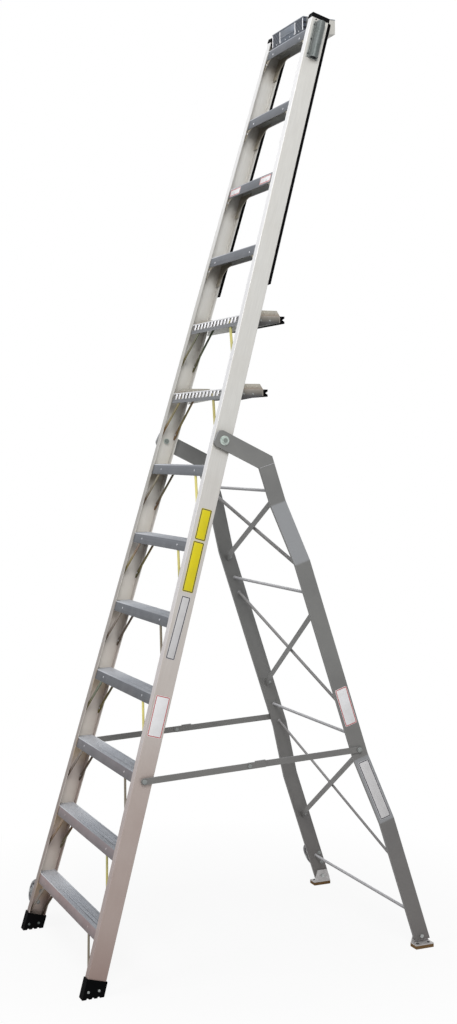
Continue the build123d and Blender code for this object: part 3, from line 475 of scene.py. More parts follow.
# %% Rail aluminium
SQUARE_ON, NEARLY_SQUARE_ON = (0.8, 0.95), (0.7, 0.95)
FLANGE_DEPTHS = FRONT_PLANE + 0.020, FRONT_PLANE + 0.008
LEFT_RAIL, LEFT_TO_RIGHT = (-0.10, -0.20), (-0.25, 0.25)
LEFT_LOW_HEIGHTS, TOP_HIGHLIGHT_HEIGHTS, OCHRE_HEIGHTS, BROWN_HEIGHTS = (3.0, 1.9), (2.7, 3.2), (1.5, 1.0), (1.2, 1.7)
SHEEN_LENGTH, FLANGE_HIGHLIGHT_SHARES, BROWN_SHARES = (0.20, 0.01), (0.05, 0.90), (0.0, 0.7)
UNDER_TREAD_LENGTH = STEP_PITCH - 0.13, STEP_PITCH - 0.06


def rail_finish():
    """Two close tones along the draw lines, under veils of handling marks, dirt, stain, and painted highlights,
    sheen, shade and floor reflection.
    """
    finish = start_finish("rail_aluminium", 0.25, 0.35)
    place = finish.place
    height, across = measured(place, UPWARD), measured(place, RIGHT)
    turn = {"Vector": place, "Rotation": (LEAN, 0.0, 0.0)}
    along = add_node(place.id_data, "ShaderNodeMapping", turn).outputs[0]
    lines = masked_by(DRAW_LINES, along, Stretch=(240.0, 240.0, 1.3))
    clouds = masked_by(SMUDGES, place, Scale=6.0)
    low_shade = masked_by(LOW_SHADE, place, Low=0.0, High=2.0)
    near_front = spread(measured(place, DEPTH), *FLANGE_DEPTHS)
    on_flange = overlap(near_front, facing(place, -DEPTH, *NEARLY_SQUARE_ON))
    left_rail, on_web = spread(across, *LEFT_RAIL), facing(place, RIGHT, *SQUARE_ON)
    # The left rail below a height: its flange is painted in shade there, and its web carries a painted sheen.
    left_low = overlap(left_rail, spread(height, *LEFT_LOW_HEIGHTS))
    sheen_above_tread = overlap(left_low, spread(above_tread(place), *SHEEN_LENGTH), on_web)
    under_tread = overlap(spread(above_tread(place), *UNDER_TREAD_LENGTH), left_rail, on_web)
    colour = veiled(
        blended(lines, screen(207, 206, 202), screen(215, 214, 210)),
        (clouds, 0.28, (196, 192, 184)),
        (masked_by(SPECKLE, place, Scale=38.0, Amount=0.09), 0.40, (158, 154, 148)),
        # Painted highlight on the front flanges, the right one most.
        (on_flange, spread(across, *LEFT_TO_RIGHT, *FLANGE_HIGHLIGHT_SHARES), (231, 231, 233)),
        # Dirt and painted shade in the corners.
        (masked_by(CORNER_DIRT_AND_SHADE, place, Reach=0.04, Scale=9.0), 0.35, (138, 122, 102)),
        # Painted shade and pinkish floor reflection towards the feet, deepest near the floor.
        (low_shade, 0.90, (172, 149, 141)),
        (computed("POWER", low_shade, 4.0), 0.45, (112, 90, 84)),
        # Painted sheen on the left web just above each tread.
        (sheen_above_tread, 0.60, (232, 227, 216)),
        # Painted shade on the left flange lower down.
        (overlap(on_flange, left_low), 0.42, (104, 100, 95)),
        # Painted highlight: near the top the flanges are almost white.
        (overlap(on_flange, spread(height, *TOP_HIGHLIGHT_HEIGHTS)), 0.7, (246, 246, 247)),
        # Brown stain and painted shade under the upper treads.
        (overlap(under_tread, clouds), spread(height, *BROWN_HEIGHTS, *BROWN_SHARES), (108, 92, 66)),
        # Painted ochre bounce light under the lower treads.
        (overlap(under_tread, spread(height, *OCHRE_HEIGHTS)), 0.6, (200, 176, 138)),
        # Painted shade on the flanges near the floor.
        (overlap(on_flange, low_shade), 0.22, (112, 96, 90)),
        (masked_by(EDGE_WEAR, place, Radius=0.0025, Scale=60.0), 0.45, (238, 238, 236)),
    )
    end_finish(finish, colour, clouds, 0.40, 0.55, lines, 0.0003, 0.10)


rail_finish()

# %% [markdown]
# Treads, platforms and folded sheet. The same alloy with a duller, bluish skin. Faces that look up are
# painted paler, as in light from above, and streaked along the extrusion, with darker grooves towards the
# right. The skirts are painted in shade towards their lower edges, and darker on the treads around one
# height. One function serves every sheet. What a single kind has, such as the tray's punched holes or the
# painted shadow beside the socket's tube, is a patch: a mask with its own colour.

# %% The worn top of a tread
GROOVE_PITCH, GROOVE_SHARES = 0.015, np.array([0.55, 0.85])
TREAD_LEFT_TO_RIGHT, PALE_LEFT_END = (-0.22, 0.22), (0.5, 0.0)
STREAK_TONE, WORN_TONE, GROOVE_TONE = 0.92, 0.50, 0.58


def lit_worn_top(place, top):
    """A top painted paler, as in light from above: streaks in two close tones, a pale left end, and towards the
    right darker streaks and grooves.
    """
    streaks = masked_by(DRAW_LINES, place, Stretch=(3.0, 110.0, 110.0))
    ridge = computed("PINGPONG", measured(place, DEPTH), GROOVE_PITCH / 2)
    grooves = spread(ridge, *(GROOVE_SHARES * GROOVE_PITCH / 2))
    to_right = spread(measured(place, RIGHT), *TREAD_LEFT_TO_RIGHT)
    return veiled(
        blended(streaks, screen(*(STREAK_TONE * top)), screen(*top)),
        (spread(to_right, *PALE_LEFT_END), 0.6, (222, 225, 230)),
        (overlap(to_right, streaks), 0.70, WORN_TONE * top),
        (overlap(to_right, grooves), 0.35, GROOVE_TONE * top),
    )


print("a groove every", GROOVE_PITCH, "m")

# %% Sheet aluminium
TREAD_SKIRT, DARKEST_HEIGHT, DARK_REACH = 0.042, 1.13, (0.65, 0.1)
DOWN_SKIRT = STEP_PITCH - 0.004, STEP_PITCH - TREAD_SKIRT
RIB_HEIGHTS = TOP_PITCH - 0.0036, TOP_PITCH - 0.0030
LOOKING_UP = 0.6, 0.95


def sheet_finish(name, skirt, dark, top, patches=(), low_shade_share=0.0, shaded=0.0, wear_share=0.75):
    """The skirt's two tones, painted shade and floor reflection near the ground, patches, dirt and painted
    shade in corners, and the worn top, painted paler as in light from above. A shaded skirt is painted darker
    towards its lower edge and on the treads around one height, and its top reaches down into the ribs."""
    finish = start_finish(name, 0.35, 0.4)
    place = finish.place
    lines = masked_by(DRAW_LINES, place, Stretch=(3.0, 380.0, 380.0))
    clouds = masked_by(SMUDGES, place, Scale=15.0)
    low_shade = masked_by(LOW_SHADE, place, Low=0.1, High=1.1)
    on_top = facing(place, UPWARD, *LOOKING_UP)
    colour = veiled(
        blended(lines, screen(*dark), screen(*skirt)),
        (clouds, 0.25, (142, 144, 149)),
        # Painted shade and pinkish floor reflection near the ground.
        (low_shade, low_shade_share, (158, 132, 130)),
    )
    if shaded:
        off_darkest = computed("ABSOLUTE", computed("SUBTRACT", measured(place, UPWARD), DARKEST_HEIGHT))
        colour = veiled(
            colour,
            # Painted shade towards the skirt's lower edge.
            (spread(above_tread(place), *DOWN_SKIRT), shaded, (62, 64, 68)),
            # Darker on the treads around one height.
            (spread(off_darkest, *DARK_REACH), 0.40, (50, 52, 56)),
        )
        on_top = computed("MAXIMUM", on_top, spread(above_top(place), *RIB_HEIGHTS))
    colour = veiled(
        colour,
        *[(mask(place), share, patch_colour) for mask, share, patch_colour in patches],
        (masked_by(SPECKLE, place, Scale=230.0, Amount=0.20), 0.22, (204, 206, 210)),
    )
    colour = veiled(
        # Faces that look up take the top, painted paler as in light from above.
        blended(on_top, colour, lit_worn_top(place, np.array(top))),
        # Dirt and painted shade in the corners.
        (masked_by(CORNER_DIRT_AND_SHADE, place, Reach=0.03, Scale=14.0), 0.15, (84, 78, 70)),
        (masked_by(EDGE_WEAR, place, Radius=0.002, Scale=90.0), wear_share, (222, 225, 230)),
    )
    end_finish(finish, colour, clouds, 0.36, 0.54, lines, 0.0003, 0.15)


# %% Masks of plain patches and of the tray's holes
tray_low, tray_high = (np.array(corner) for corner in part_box("tool_tray"))
POCKET_FRONT, POCKET_EDGE = 0.075, 0.001
POCKETS_FROM = tray_high[0] - POCKET_FRONT
HOLE_PITCH, HOLE_SHARES = 0.020, np.array([0.10, 0.16])


def beyond(direction, low, high):
    """A mask that goes from 0 at one distance along a direction to 1 at another."""
    return lambda place: spread(measured(place, direction), low, high)


def side_edges(place):
    """Faces that look to the right; on the platforms they carry a painted warm light."""
    return facing(place, RIGHT, *SQUARE_ON)


def pocket_holes(place):
    """The punched fronts of the two end pockets: a diamond grid of holes painted dark, the shade seen through
    them, from two sets of slanting stripes.
    """
    off_middle = computed("ABSOLUTE", measured(place, RIGHT))
    in_pocket = spread(off_middle, POCKETS_FROM, POCKETS_FROM + POCKET_EDGE)
    slants = (RIGHT + UPWARD, RIGHT - UPWARD)
    stripes = [computed("PINGPONG", measured(place, slant), HOLE_PITCH / 2) for slant in slants]
    return overlap(in_pocket, spread(computed("MINIMUM", *stripes), *(HOLE_SHARES * HOLE_PITCH)))


print("pockets from", round(POCKETS_FROM, 4), "m off the middle")

# %% Masks of the sockets, lips and brackets
FLANGE_TOP, FLANGE_EDGE, GAP_OUT, GAP_HALF_WIDTHS = 0.003, 0.002, 0.0195, (0.0022, 0.0014)
LIP_FOOT_HEIGHTS, BRACKET_HEIGHTS = (0.014, 0.001), (TOP_PITCH - 0.026, TOP_PITCH - 0.004)


def socket_flange(place):
    """What lies no further off the web than the flange's own thickness, on either rail."""
    out = RAILS[1].axes[0]
    to_side = computed("MULTIPLY", computed("ABSOLUTE", measured(place, RIGHT)), out[0])
    off_web = computed("ADD", to_side, measured(place, out * [0.0, 1.0, 1.0]))
    flange_face = RAILS[1].origin @ out + FLANGE_TOP
    return spread(off_web, flange_face + FLANGE_EDGE, flange_face)


def socket_gap_shadow(place):
    """A painted shadow: the dark line between the tube and each flange, at one distance from the socket's middle.
    """
    from_middle = computed("SUBTRACT", measured(place, DEPTH), FRONT_PLANE + RAIL_DEPTH / 2)
    off_line = computed("SUBTRACT", computed("ABSOLUTE", from_middle), GAP_OUT)
    return spread(computed("ABSOLUTE", off_line), *GAP_HALF_WIDTHS)


def lip_foot(place):
    """From 1 at the foot of an upright lip to 0 about two thirds of the way up it."""
    return spread(above_top(place, PLATFORM_RISE), *LIP_FOOT_HEIGHTS)


def under_platform(place):
    """From 1 just under a platform's top to 0 a little below the middle of a bracket, where the bracket is painted
    paler, as in light from above.
    """
    return spread(above_top(place, PLATFORM_RISE), *BRACKET_HEIGHTS)


# Where the painted shadow lines lie.
print("grooves", GAP_OUT, "m from a socket's middle")

# %% Patches, and the sheets that carry them
# Painted light: the backs of treads and platforms, and the left bracket, are painted paler where they sit in
# shade, as if lit from the floor.
TREAD_BACK = beyond(DEPTH, FRONT_PLANE + 0.045, FRONT_PLANE + 0.055), 0.9, (206, 206, 202)
PLATFORM_BACK = beyond(DEPTH, FRONT_PLANE + 0.10, FRONT_PLANE + 0.12), 0.9, (240, 240, 236)
TRAY_BACK = beyond(BACKWARD, tray_low[1] + 0.012, tray_low[1] + 0.030), 0.85, (206, 204, 197)
LEFT_BRACKET = beyond(-RIGHT, 0.05, 0.10), 0.9, (240, 240, 236)
SHEETS = {
    "tread_aluminium": dict(
        skirt=(112, 116, 124), dark=(86, 91, 99), top=(184, 189, 198), patches=[TREAD_BACK],
        low_shade_share=0.9, shaded=0.60, wear_share=0.30,
    ),
    "platform_aluminium": dict(
        skirt=(120, 122, 125), dark=(92, 94, 98), top=(192, 192, 188), wear_share=0.25,
        patches=[PLATFORM_BACK, (side_edges, 0.9, (146, 136, 126))],
    ),
    "sheet_aluminium": dict(skirt=(124, 132, 144), dark=(90, 98, 110), top=(186, 190, 196)),
    "gusset_aluminium": dict(skirt=(168, 160, 142), dark=(142, 132, 112), top=(180, 174, 160)),
    "tray_aluminium": dict(
        skirt=(92, 102, 115), dark=(56, 64, 77), top=(186, 190, 194),
        # The punched holes are painted dark: the shade seen through them.
        patches=[(pocket_holes, 0.9, (30, 31, 38)), TRAY_BACK],
    ),
    "lip_aluminium": dict(
        skirt=(192, 187, 174), dark=(164, 158, 145), top=(216, 213, 204), wear_share=0.3,
        patches=[(lip_foot, 0.6, (128, 108, 94))],
    ),
    # The brackets are painted dark grey, a painted shade for the band under each platform; under the top and on
    # the left bracket they are painted paler, as in light.
    "bracket_aluminium": dict(
        skirt=(66, 64, 62), dark=(46, 44, 43), top=(128, 126, 122), wear_share=0.2,
        patches=[(under_platform, 0.55, (176, 170, 158)), LEFT_BRACKET],
    ),
    "socket_aluminium": dict(
        skirt=(100, 107, 104), dark=(68, 73, 71), top=(150, 154, 152),
        patches=[(socket_flange, 0.85, (176, 179, 175)), (socket_gap_shadow, 0.85, (44, 48, 47))],
    ),
}
for name, looks in SHEETS.items():
    sheet_finish(name, **looks)

# %% [markdown]
# Painted rear support. A satin grey coat with a faint orange peel, dust in clouds, painted shade near the
# ground, and bare bright metal where edges rub. Faces that lean up even a little are painted paler, a
# painted reflection of the sky. The round rods carry that painted light gradually, so their pale side has soft
# borders.

# %% Grey paint
LEANING_UP, ROUND_TOP = (0.10, 0.22), (-0.3, 0.9)


def paint_finish(name, base, dusty, upper, pale_side=LEANING_UP, speck_share=0.30):
    """Two tones in clouds, under veils of painted shade near the ground, painted sky light on faces that lean up,
    specks, dirt and painted shade in corners, and worn edges.
    """
    finish = start_finish(name, 0.0, 0.4)
    place = finish.place
    clouds = masked_by(SMUDGES, place, Scale=5.0)
    colour = veiled(
        blended(clouds, screen(*base), screen(*dusty)),
        # Painted shade near the ground.
        (masked_by(LOW_SHADE, place, Low=0.0, High=1.2), 0.40, (104, 94, 92)),
        # Painted light on faces that lean up: a sky reflection on the legs, a highlight on the rods' tops.
        (facing(place, UPWARD, *pale_side), 0.85, upper),
        (masked_by(SPECKLE, place, Scale=130.0, Amount=0.09), speck_share, (156, 155, 152)),
        # Dirt and painted shade in the corners.
        (masked_by(CORNER_DIRT_AND_SHADE, place, Reach=0.03, Scale=20.0), 0.45, (72, 70, 66)),
        (masked_by(EDGE_WEAR, place, Radius=0.0018, Scale=45.0), 0.55, (172, 172, 170)),
    )
    end_finish(finish, colour, clouds, 0.40, 0.55, noise(place, 420.0, 2.0), 0.0004, 0.12)


paint_finish("grey_paint", (121, 121, 120), (131, 131, 129), (150, 152, 155))
# The cross rods' tops carry a soft painted highlight.
paint_finish("silver_paint", (138, 138, 140), (150, 150, 152), (234, 234, 238), ROUND_TOP, 0.05)
# A darker copy of the paint for the sloping rods: painted shade.
paint_finish("shaded_paint", (108, 105, 103), (120, 117, 115), (178, 177, 178), ROUND_TOP, 0.05)

# %% [markdown]
# Zinc. The knee braces are yellow passivated: a thin coat whose colour wanders from green through olive
# and gold to reddish brown, strap by strap. A slow noise looks the colour up in a ramp, and the height
# shifts it. The right-hand braces are the yellowest, and low down every second pair has lost its coat.
# Bolts and rivets are plain zinc, bright or dull, and the fold bolts are darker inside their washers.

# %% Yellow zinc
FILM_COLOURS = [
    (0.30, (58, 78, 54)), (0.38, (80, 78, 42)), (0.45, (108, 98, 46)), (0.50, (126, 112, 56)),
    (0.56, (112, 78, 42)), (0.63, (84, 64, 48)), (0.72, (118, 114, 88)),
]
BROWNER_HEIGHTS, GREENER_HEIGHTS, STRIPPED_HEIGHTS = (1.90, 2.05), (2.28, 2.40), (1.75, 1.65)
RIGHT_BRACES, SECOND_STEP = (0.05, 0.20), (STEP_PITCH - 0.002, STEP_PITCH + 0.002)
BROWN_SHIFT, GREEN_SHIFT = (-0.02, 0.08), (0.0, -0.29)
YELLOW_NOISE, YELLOW_SHARES = (0.40, 0.60), (0.35, 0.80)


def ramped(value, stops):
    """A value turned into a colour: each stop is a place between 0 and 1 and a screen colour."""
    ramp = add_node(value.id_data, "ShaderNodeValToRGB", {0: value})
    elements = ramp.color_ramp.elements
    elements.remove(elements[1])
    elements[0].position, elements[0].color = stops[0][0], screen(*stops[0][1])
    for position, colour in stops[1:]:
        elements.new(position).color = screen(*colour)
    return ramp.outputs[0]


def yellow_zinc_finish(name):
    """The coat's colour from the ramp, under veils of clouds, yellow, patches where the coat is lost, and worn
    edges.
    """
    finish = start_finish(name, 0.30)
    place = finish.place
    slow, height = noise(place, 3.1, 2.0), measured(place, UPWARD)
    clouds = masked_by(SMUDGES, place, Scale=34.0)
    browner = spread(height, *BROWNER_HEIGHTS, *BROWN_SHIFT)
    shift = computed("ADD", browner, spread(height, *GREENER_HEIGHTS, *GREEN_SHIFT))
    every_second = spread(above_tread(place, 2), *SECOND_STEP)
    yellow_share = spread(slow, *YELLOW_NOISE, *YELLOW_SHARES)
    colour = veiled(
        ramped(computed("ADD", slow, shift), FILM_COLOURS),
        (clouds, 0.25, (128, 112, 72)),
        (spread(measured(place, RIGHT), *RIGHT_BRACES), yellow_share, (246, 234, 128)),
        (overlap(every_second, spread(height, *STRIPPED_HEIGHTS)), 0.92, (92, 78, 68)),
        (masked_by(EDGE_WEAR, place, Radius=0.0012, Scale=120.0), 0.45, (232, 226, 190)),
    )
    end_finish(finish, colour, clouds, 0.30, 0.48, clouds, 0.0002, 0.08)


yellow_zinc_finish("zinc_brace")

# %% Plain zinc
MIDDLE_EDGE = 0.002


def zinc_finish(name, base, second, metallic=0.3, wear_share=0.4, dark_within=None, low_shade_share=0.0):
    """Two tones in clouds, worn edges, painted shade and floor reflection near the ground, and a darker middle
    within a distance of the fold pivots' line: the painted shade of a socket recess."""
    finish = start_finish(name, metallic)
    place = finish.place
    clouds = masked_by(SMUDGES, place, Scale=60.0)
    wear = masked_by(EDGE_WEAR, place, Radius=0.0012, Scale=120.0)
    low_shade = masked_by(LOW_SHADE, place, Low=0.1, High=1.1)
    colour = blended(clouds, screen(*base), screen(*second))
    if dark_within:
        flat = reckoned("MULTIPLY", place, (0.0, 1.0, 1.0), output="Vector")
        away = reckoned("DISTANCE", flat, tuple(FOLD_PIVOT))
        middle = spread(away, dark_within + MIDDLE_EDGE, dark_within)
        # Painted shade of the socket recess in the fold bolts' heads.
        colour = veiled(colour, (middle, 0.75, (92, 98, 94)))
    # Worn edges, and painted shade and floor reflection near the ground.
    colour = veiled(colour, (wear, wear_share, (226, 224, 214)), (low_shade, low_shade_share, (150, 128, 124)))
    end_finish(finish, colour, clouds, 0.30, 0.48, clouds, 0.0002, 0.08)


ZINCS = {
    "bolt_steel": dict(base=(160, 164, 164), second=(188, 190, 189), metallic=0.45),
    "dull_zinc": dict(base=(132, 136, 135), second=(154, 157, 155), wear_share=0.3),
    # A darker copy of the zinc: painted shade for the rivets on the boots' inner side.
    "shaded_zinc": dict(base=(60, 68, 66), second=(80, 88, 86), wear_share=0.2),
    "pivot_zinc": dict(base=(178, 190, 184), second=(204, 213, 207), dark_within=0.0085),
    "shoe_zinc": dict(base=(180, 177, 176), second=(204, 202, 202)),
    "dark_screw": dict(base=(34, 35, 37), second=(56, 57, 59), metallic=0.4, wear_share=0.2),
    # Rivets take the painted shade and floor reflection near the ground, as the rails do.
    "rivet_metal": dict(base=(176, 178, 183), second=(204, 206, 210), low_shade_share=0.9),
    # A lit copy of the metal: the painted highlight of pressed seams, bars and nosings.
    "highlight_metal": dict(base=(216, 216, 220), second=(240, 240, 242), wear_share=0.2),
}
for name, looks in ZINCS.items():
    zinc_finish(name, **looks)

# %% [markdown]
# Rubber, plastic and vinyl. Black rubber boots and trims are matt with a dusty bloom; the grip pads are a
# tan compound with a grainy skin; wheels and caps are moulded. They share one recipe: a base, a bloom in
# clouds, a grain for relief. Vinyl is smoother: it fades in clouds and picks up a few scuffs.

# %% Rubber and moulded plastic
SPECKS_TO_GRAIN, ROUGH_RANGE = 0.4, 0.15


def moulded_finish(name, base, bloom, grain, rough, bloom_share=0.4, specular=0.3):
    """A base colour under a bloom in clouds and specks, with a grain of a scale for its relief."""
    finish = start_finish(name, 0.0, specular)
    place = finish.place
    clouds = masked_by(SMUDGES, place, Scale=22.0)
    specks = masked_by(SPECKLE, place, Scale=SPECKS_TO_GRAIN * grain, Amount=0.12)
    colour = veiled(screen(*base), (computed("MAXIMUM", clouds, specks), bloom_share, bloom))
    end_finish(finish, colour, clouds, rough, rough + ROUGH_RANGE, noise(place, grain, 3.0), 0.0006, 0.25)


moulded_finish("black_rubber", (4, 4, 5), (24, 24, 24), 520.0, 0.80, 0.14, 0.06)
moulded_finish("black_plastic", (8, 8, 9), (28, 28, 30), 700.0, 0.65, 0.18, 0.08)
moulded_finish("tan_pad", (112, 86, 56), (144, 118, 86), 300.0, 0.80, specular=0.1)
moulded_finish("wheel_plastic", (176, 177, 180), (200, 200, 200), 600.0, 0.45)
moulded_finish("wheel_rubber", (140, 140, 143), (170, 169, 168), 420.0, 0.60)


# %% Vinyl and ink for the plain panels
def vinyl_finish(name, base, faded):
    """A base colour that fades in clouds, with a few pale scuffs."""
    finish = start_finish(name, 0.0, 0.4)
    place = finish.place
    clouds = masked_by(SMUDGES, place, Scale=30.0)
    scuffs = masked_by(SPECKLE, place, Scale=120.0, Amount=0.10)
    colour = veiled(screen(*base), (clouds, 0.5, faded), (scuffs, 0.3, (190, 186, 176)))
    end_finish(finish, colour, clouds, 0.32, 0.48, clouds, 0.0002, 0.05)


vinyl_finish("yellow_vinyl", (224, 208, 16), (206, 192, 46))
vinyl_finish("white_vinyl", (240, 240, 242), (226, 225, 224))
vinyl_finish("silver_vinyl", (210, 209, 210), (194, 192, 192))
vinyl_finish("line_ink", (44, 42, 54), (66, 64, 74))
vinyl_finish("red_ink", (186, 66, 66), (196, 104, 100))

# %% [markdown]
# Dressing the solids. The record names a slot for every node, and most finishes carry the name of their
# slot. A few nodes differ from the others in their slot, and they are told by how their name starts. A
# node keeps its mesh and place; only its material changes.

# %% Dress the nodes
SPECIAL_FINISHES = {
    "corner_gussets": "gusset_aluminium",
    "tool_tray": "tray_aluminium",
    "platform_side_plates": "lip_aluminium",
    "platform_brackets": "bracket_aluminium",
    "accessory_socket": "socket_aluminium",
    "cross_rods": "silver_paint",
    # The sloping rods take the copy of the paint darkened as painted shade.
    "cross_brace_rods": "shaded_paint",
    "spreader_pin": "dull_zinc",
    "spreader_studs": "dull_zinc",
    "fold_pivot_bolts": "pivot_zinc",
    "rear_shoe": "shoe_zinc",
}


def finish_of(node, slot):
    """A node takes the special finish that its name starts with, or else its slot's finish."""
    special = [finish for start, finish in SPECIAL_FINISHES.items() if node.startswith(start)]
    return FINISHES[special[0] if special else slot]


for node_name, slot_name in node_slots.items():
    node_mesh = frame["nodes"][node_name].data
    node_mesh.materials.clear()
    node_mesh.materials.append(finish_of(node_name, slot_name))
print("dressed", len(node_slots), "nodes")

# %% [markdown]
# Rivets of the climbing section. The maker closes every brace and gusset with dome headed rivets through
# the tread's skirt and the rail's flange. The places come from the same layout as the solids: the step
# pitch, the taper and the reach of the braces. The front and the rear of a tread differ only in where
# their faces lie and which way is inward, so one function serves both.

# %% A new piece
CLIMBING, REAR_BODY = "climbing_section", "rear_section"
SMOOTH_BELOW = np.radians(50.0)


def in_scene(name, data):
    """A new object that holds some data, linked to the scene."""
    thing = bpy.data.objects.new(name, data)
    bpy.context.scene.collection.objects.link(thing)
    return thing


def add_piece(name, body, finish, *shapes, slot=None):
    """Shapes as one mesh object at the origin, which rides on a body and takes a finish. Edges that turn by
    less than an angle are shaded round, and sharper ones stay crisp."""
    shape = joined(*shapes)
    mesh = bpy.data.meshes.new(name)
    mesh.from_pydata(shape.points, [], shape.faces)
    mesh.polygons.foreach_set("use_smooth", np.ones(len(shape.faces), bool))
    mesh.materials.append(FINISHES[finish])
    mesh.update()
    mesh.set_sharp_from_angle(angle=SMOOTH_BELOW)
    piece = in_scene(name, mesh)
    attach(piece, body)
    print(name, len(shape.faces), "faces on", body)
    return piece


# %% Layout of the steps
RAIL_LENGTH, RAIL_FLANGE, RAIL_WALL = 3.966, 0.033, 0.003
STEP_COUNT, PLATFORM_STEPS, GUSSETED_FROM = 13, (8, 9), 10
TREAD_WALL, SEAT_GAP = 0.0025, 0.0002
BRACE_WALL, BRACE_REACH, BRACE_DROP = 0.003, 0.140, 0.196
TREAD_FRONT, TREAD_REAR = RAIL_WALL + SEAT_GAP, RAIL_DEPTH - RAIL_WALL - SEAT_GAP
MID_DEPTH = RAIL_DEPTH / 2
Face = namedtuple("Face", "flange tread brace inward")
FACES = [
    Face(0.0, TREAD_FRONT, TREAD_FRONT + TREAD_WALL, 1),
    Face(RAIL_DEPTH, TREAD_REAR, TREAD_REAR - TREAD_WALL, -1),
]

steps = np.arange(1, STEP_COUNT + 1)
strapped, gusseted = steps[steps < GUSSETED_FROM], steps[steps >= GUSSETED_FROM]
plain_strapped = strapped[~np.isin(strapped, PLATFORM_STEPS)]


def top_line(depth, step):
    """Distance along the rails of a step's level top, at a depth."""
    return FIRST_STEP + (step - 1) * STEP_PITCH + depth * np.tan(LEAN)


def rail_outer(along):
    """Half-width over the rails' outer faces."""
    return FOOT_HALF_WIDTH - along * np.tan(TAPER)


def web_inner(along):
    """Half-width between the webs."""
    return rail_outer(along) - RAIL_WALL / np.cos(TAPER)


def both_sides(x, *others):
    """The same places on the right and on the left: x and -x, with the other coordinates repeated."""
    x, *others = np.broadcast_arrays(x, *others)
    return located(LADDER, np.concatenate([x, -x]), *[np.tile(values, 2) for values in others])


print("braced steps", strapped, "gusseted steps", gusseted)

# %% Heads of rivets, screws and bolts
SUNK = 0.0004
DOME_END, DOME_RINGS, DOME_SIDES = 0.45 * np.pi, 4, 12
WASHER_SHARE, WASHER_WALL, WASHER_SIDES = 0.72, 0.25, 16
CHAMFER_FROM, WASHER_TOP, HEXAGON_TOP = 0.8, 0.95, 0.42


def dome(radius, height, sides=DOME_SIDES):
    """A rivet head: a quarter ellipse turned about its axis, on a short sunk shank."""
    t = np.linspace(0.0, DOME_END, DOME_RINGS)
    cap = np.stack([radius * np.cos(t), height * np.sin(t)], axis=1)
    return turned([[radius, -SUNK], *cap], sides)


def bolt_head(width, height):
    """A chamfered hexagon on a round washer nearly half as wide again."""
    washer, wall, corner = WASHER_SHARE * width, WASHER_WALL * height, width / 2
    ring = [[washer, -SUNK], [washer, CHAMFER_FROM * wall], [WASHER_TOP * washer, wall]]
    hexagon = [[corner, 0.0], [corner, CHAMFER_FROM * height], [HEXAGON_TOP * width, height]]
    return joined(turned(ring, WASHER_SIDES), turned(hexagon, 6))


RIVET, SMALL_RIVET = dome(0.0044, 0.0020), dome(0.0032, 0.0010)
SCREW_PROFILE = [[0.0034, -SUNK], [0.0034, 0.0009], [0.0026, 0.0016], [0.0013, 0.0016], [0.0009, 0.0007]]
SCREW = turned(SCREW_PROFILE, DOME_SIDES)
print("rivet", len(RIVET.faces), "faces, screw", len(SCREW.faces), "faces")

# %% Rivets through the treads' skirts
GUSSET_RIVET_IN, GUSSET_RIVET_FALL = 0.057, 0.027


def skirt_rivets(face):
    """One rivet each side of every tread: at a brace's head, or inboard of the flange over a gusset."""
    foot = top_line(face.brace + face.inward * BRACE_WALL / 2, plain_strapped) - BRACE_DROP
    middle = top_line(face.tread, plain_strapped) - TREAD_SKIRT / 2
    at_braces = both_sides(web_inner(foot) - BRACE_REACH, face.tread, middle)
    along = top_line(face.tread, gusseted) - GUSSET_RIVET_FALL
    over_gussets = both_sides(rail_outer(along) - RAIL_FLANGE - GUSSET_RIVET_IN, face.tread, along)
    return stamped(RIVET, np.concatenate([at_braces, over_gussets]), -face.inward * DEPTH, ACROSS)


add_piece("tread_skirt_rivets", CLIMBING, "rivet_metal", *[skirt_rivets(face) for face in FACES])

# %% Rivets at the feet of the braces
FOOT_RIVET_IN = 0.014


def foot_rivets(face):
    """Each brace's foot is riveted to the flange: one head on the strap, the other on the flange. A platform
    has no rear skirt, so there the strap climbs half a skirt higher."""
    on_platform = np.isin(strapped, PLATFORM_STEPS)
    middle = face.brace + face.inward * BRACE_WALL / 2
    foot = top_line(middle, strapped) + on_platform * PLATFORM_RISE / np.cos(LEAN) - BRACE_DROP
    extra = TREAD_SKIRT / 2 if face.inward < 0 else 0.0
    fall = BRACE_DROP - TREAD_SKIRT / 2 + on_platform * extra
    length = np.hypot(BRACE_REACH, fall)
    x = web_inner(foot) - BRACE_REACH / length * FOOT_RIVET_IN
    along = foot + fall / length * FOOT_RIVET_IN
    inside = both_sides(x, face.brace + face.inward * BRACE_WALL, along)
    outside = both_sides(x, face.flange, along)
    inward = face.inward * DEPTH
    return joined(stamped(RIVET, inside, inward, ACROSS), stamped(SMALL_RIVET, outside, -inward, ACROSS))


add_piece("brace_foot_rivets", CLIMBING, "rivet_metal", *[foot_rivets(face) for face in FACES])

# %% Rivets of the gussets' legs
LEG_RIVET_IN, LEG_RIVET_FALL = 0.036, 0.060


def gusset_leg_rivets(face):
    """One rivet low on each gusset's leg, just inboard of the flange."""
    along = top_line(face.brace, gusseted) - LEG_RIVET_FALL
    spots = both_sides(web_inner(along) - LEG_RIVET_IN, face.brace, along)
    return stamped(RIVET, spots, -face.inward * DEPTH, ACROSS)


add_piece("gusset_leg_rivets", CLIMBING, "rivet_metal", *[gusset_leg_rivets(face) for face in FACES])

# %% [markdown]
# Ends of the rails. Two rivets hold each rubber boot, through both of its walls. At the top, two dark
# screws sit just under the cap, and six more hold the flanges of the accessory socket.

# %% Boot rivets
BOOT_WALL, BOOT_RIVET_HEIGHT = 0.004, 0.027
BOOT_RIVET, BOOT_RIVET_DEPTHS = dome(0.0056, 0.0022), np.array([0.0136, 0.0547])


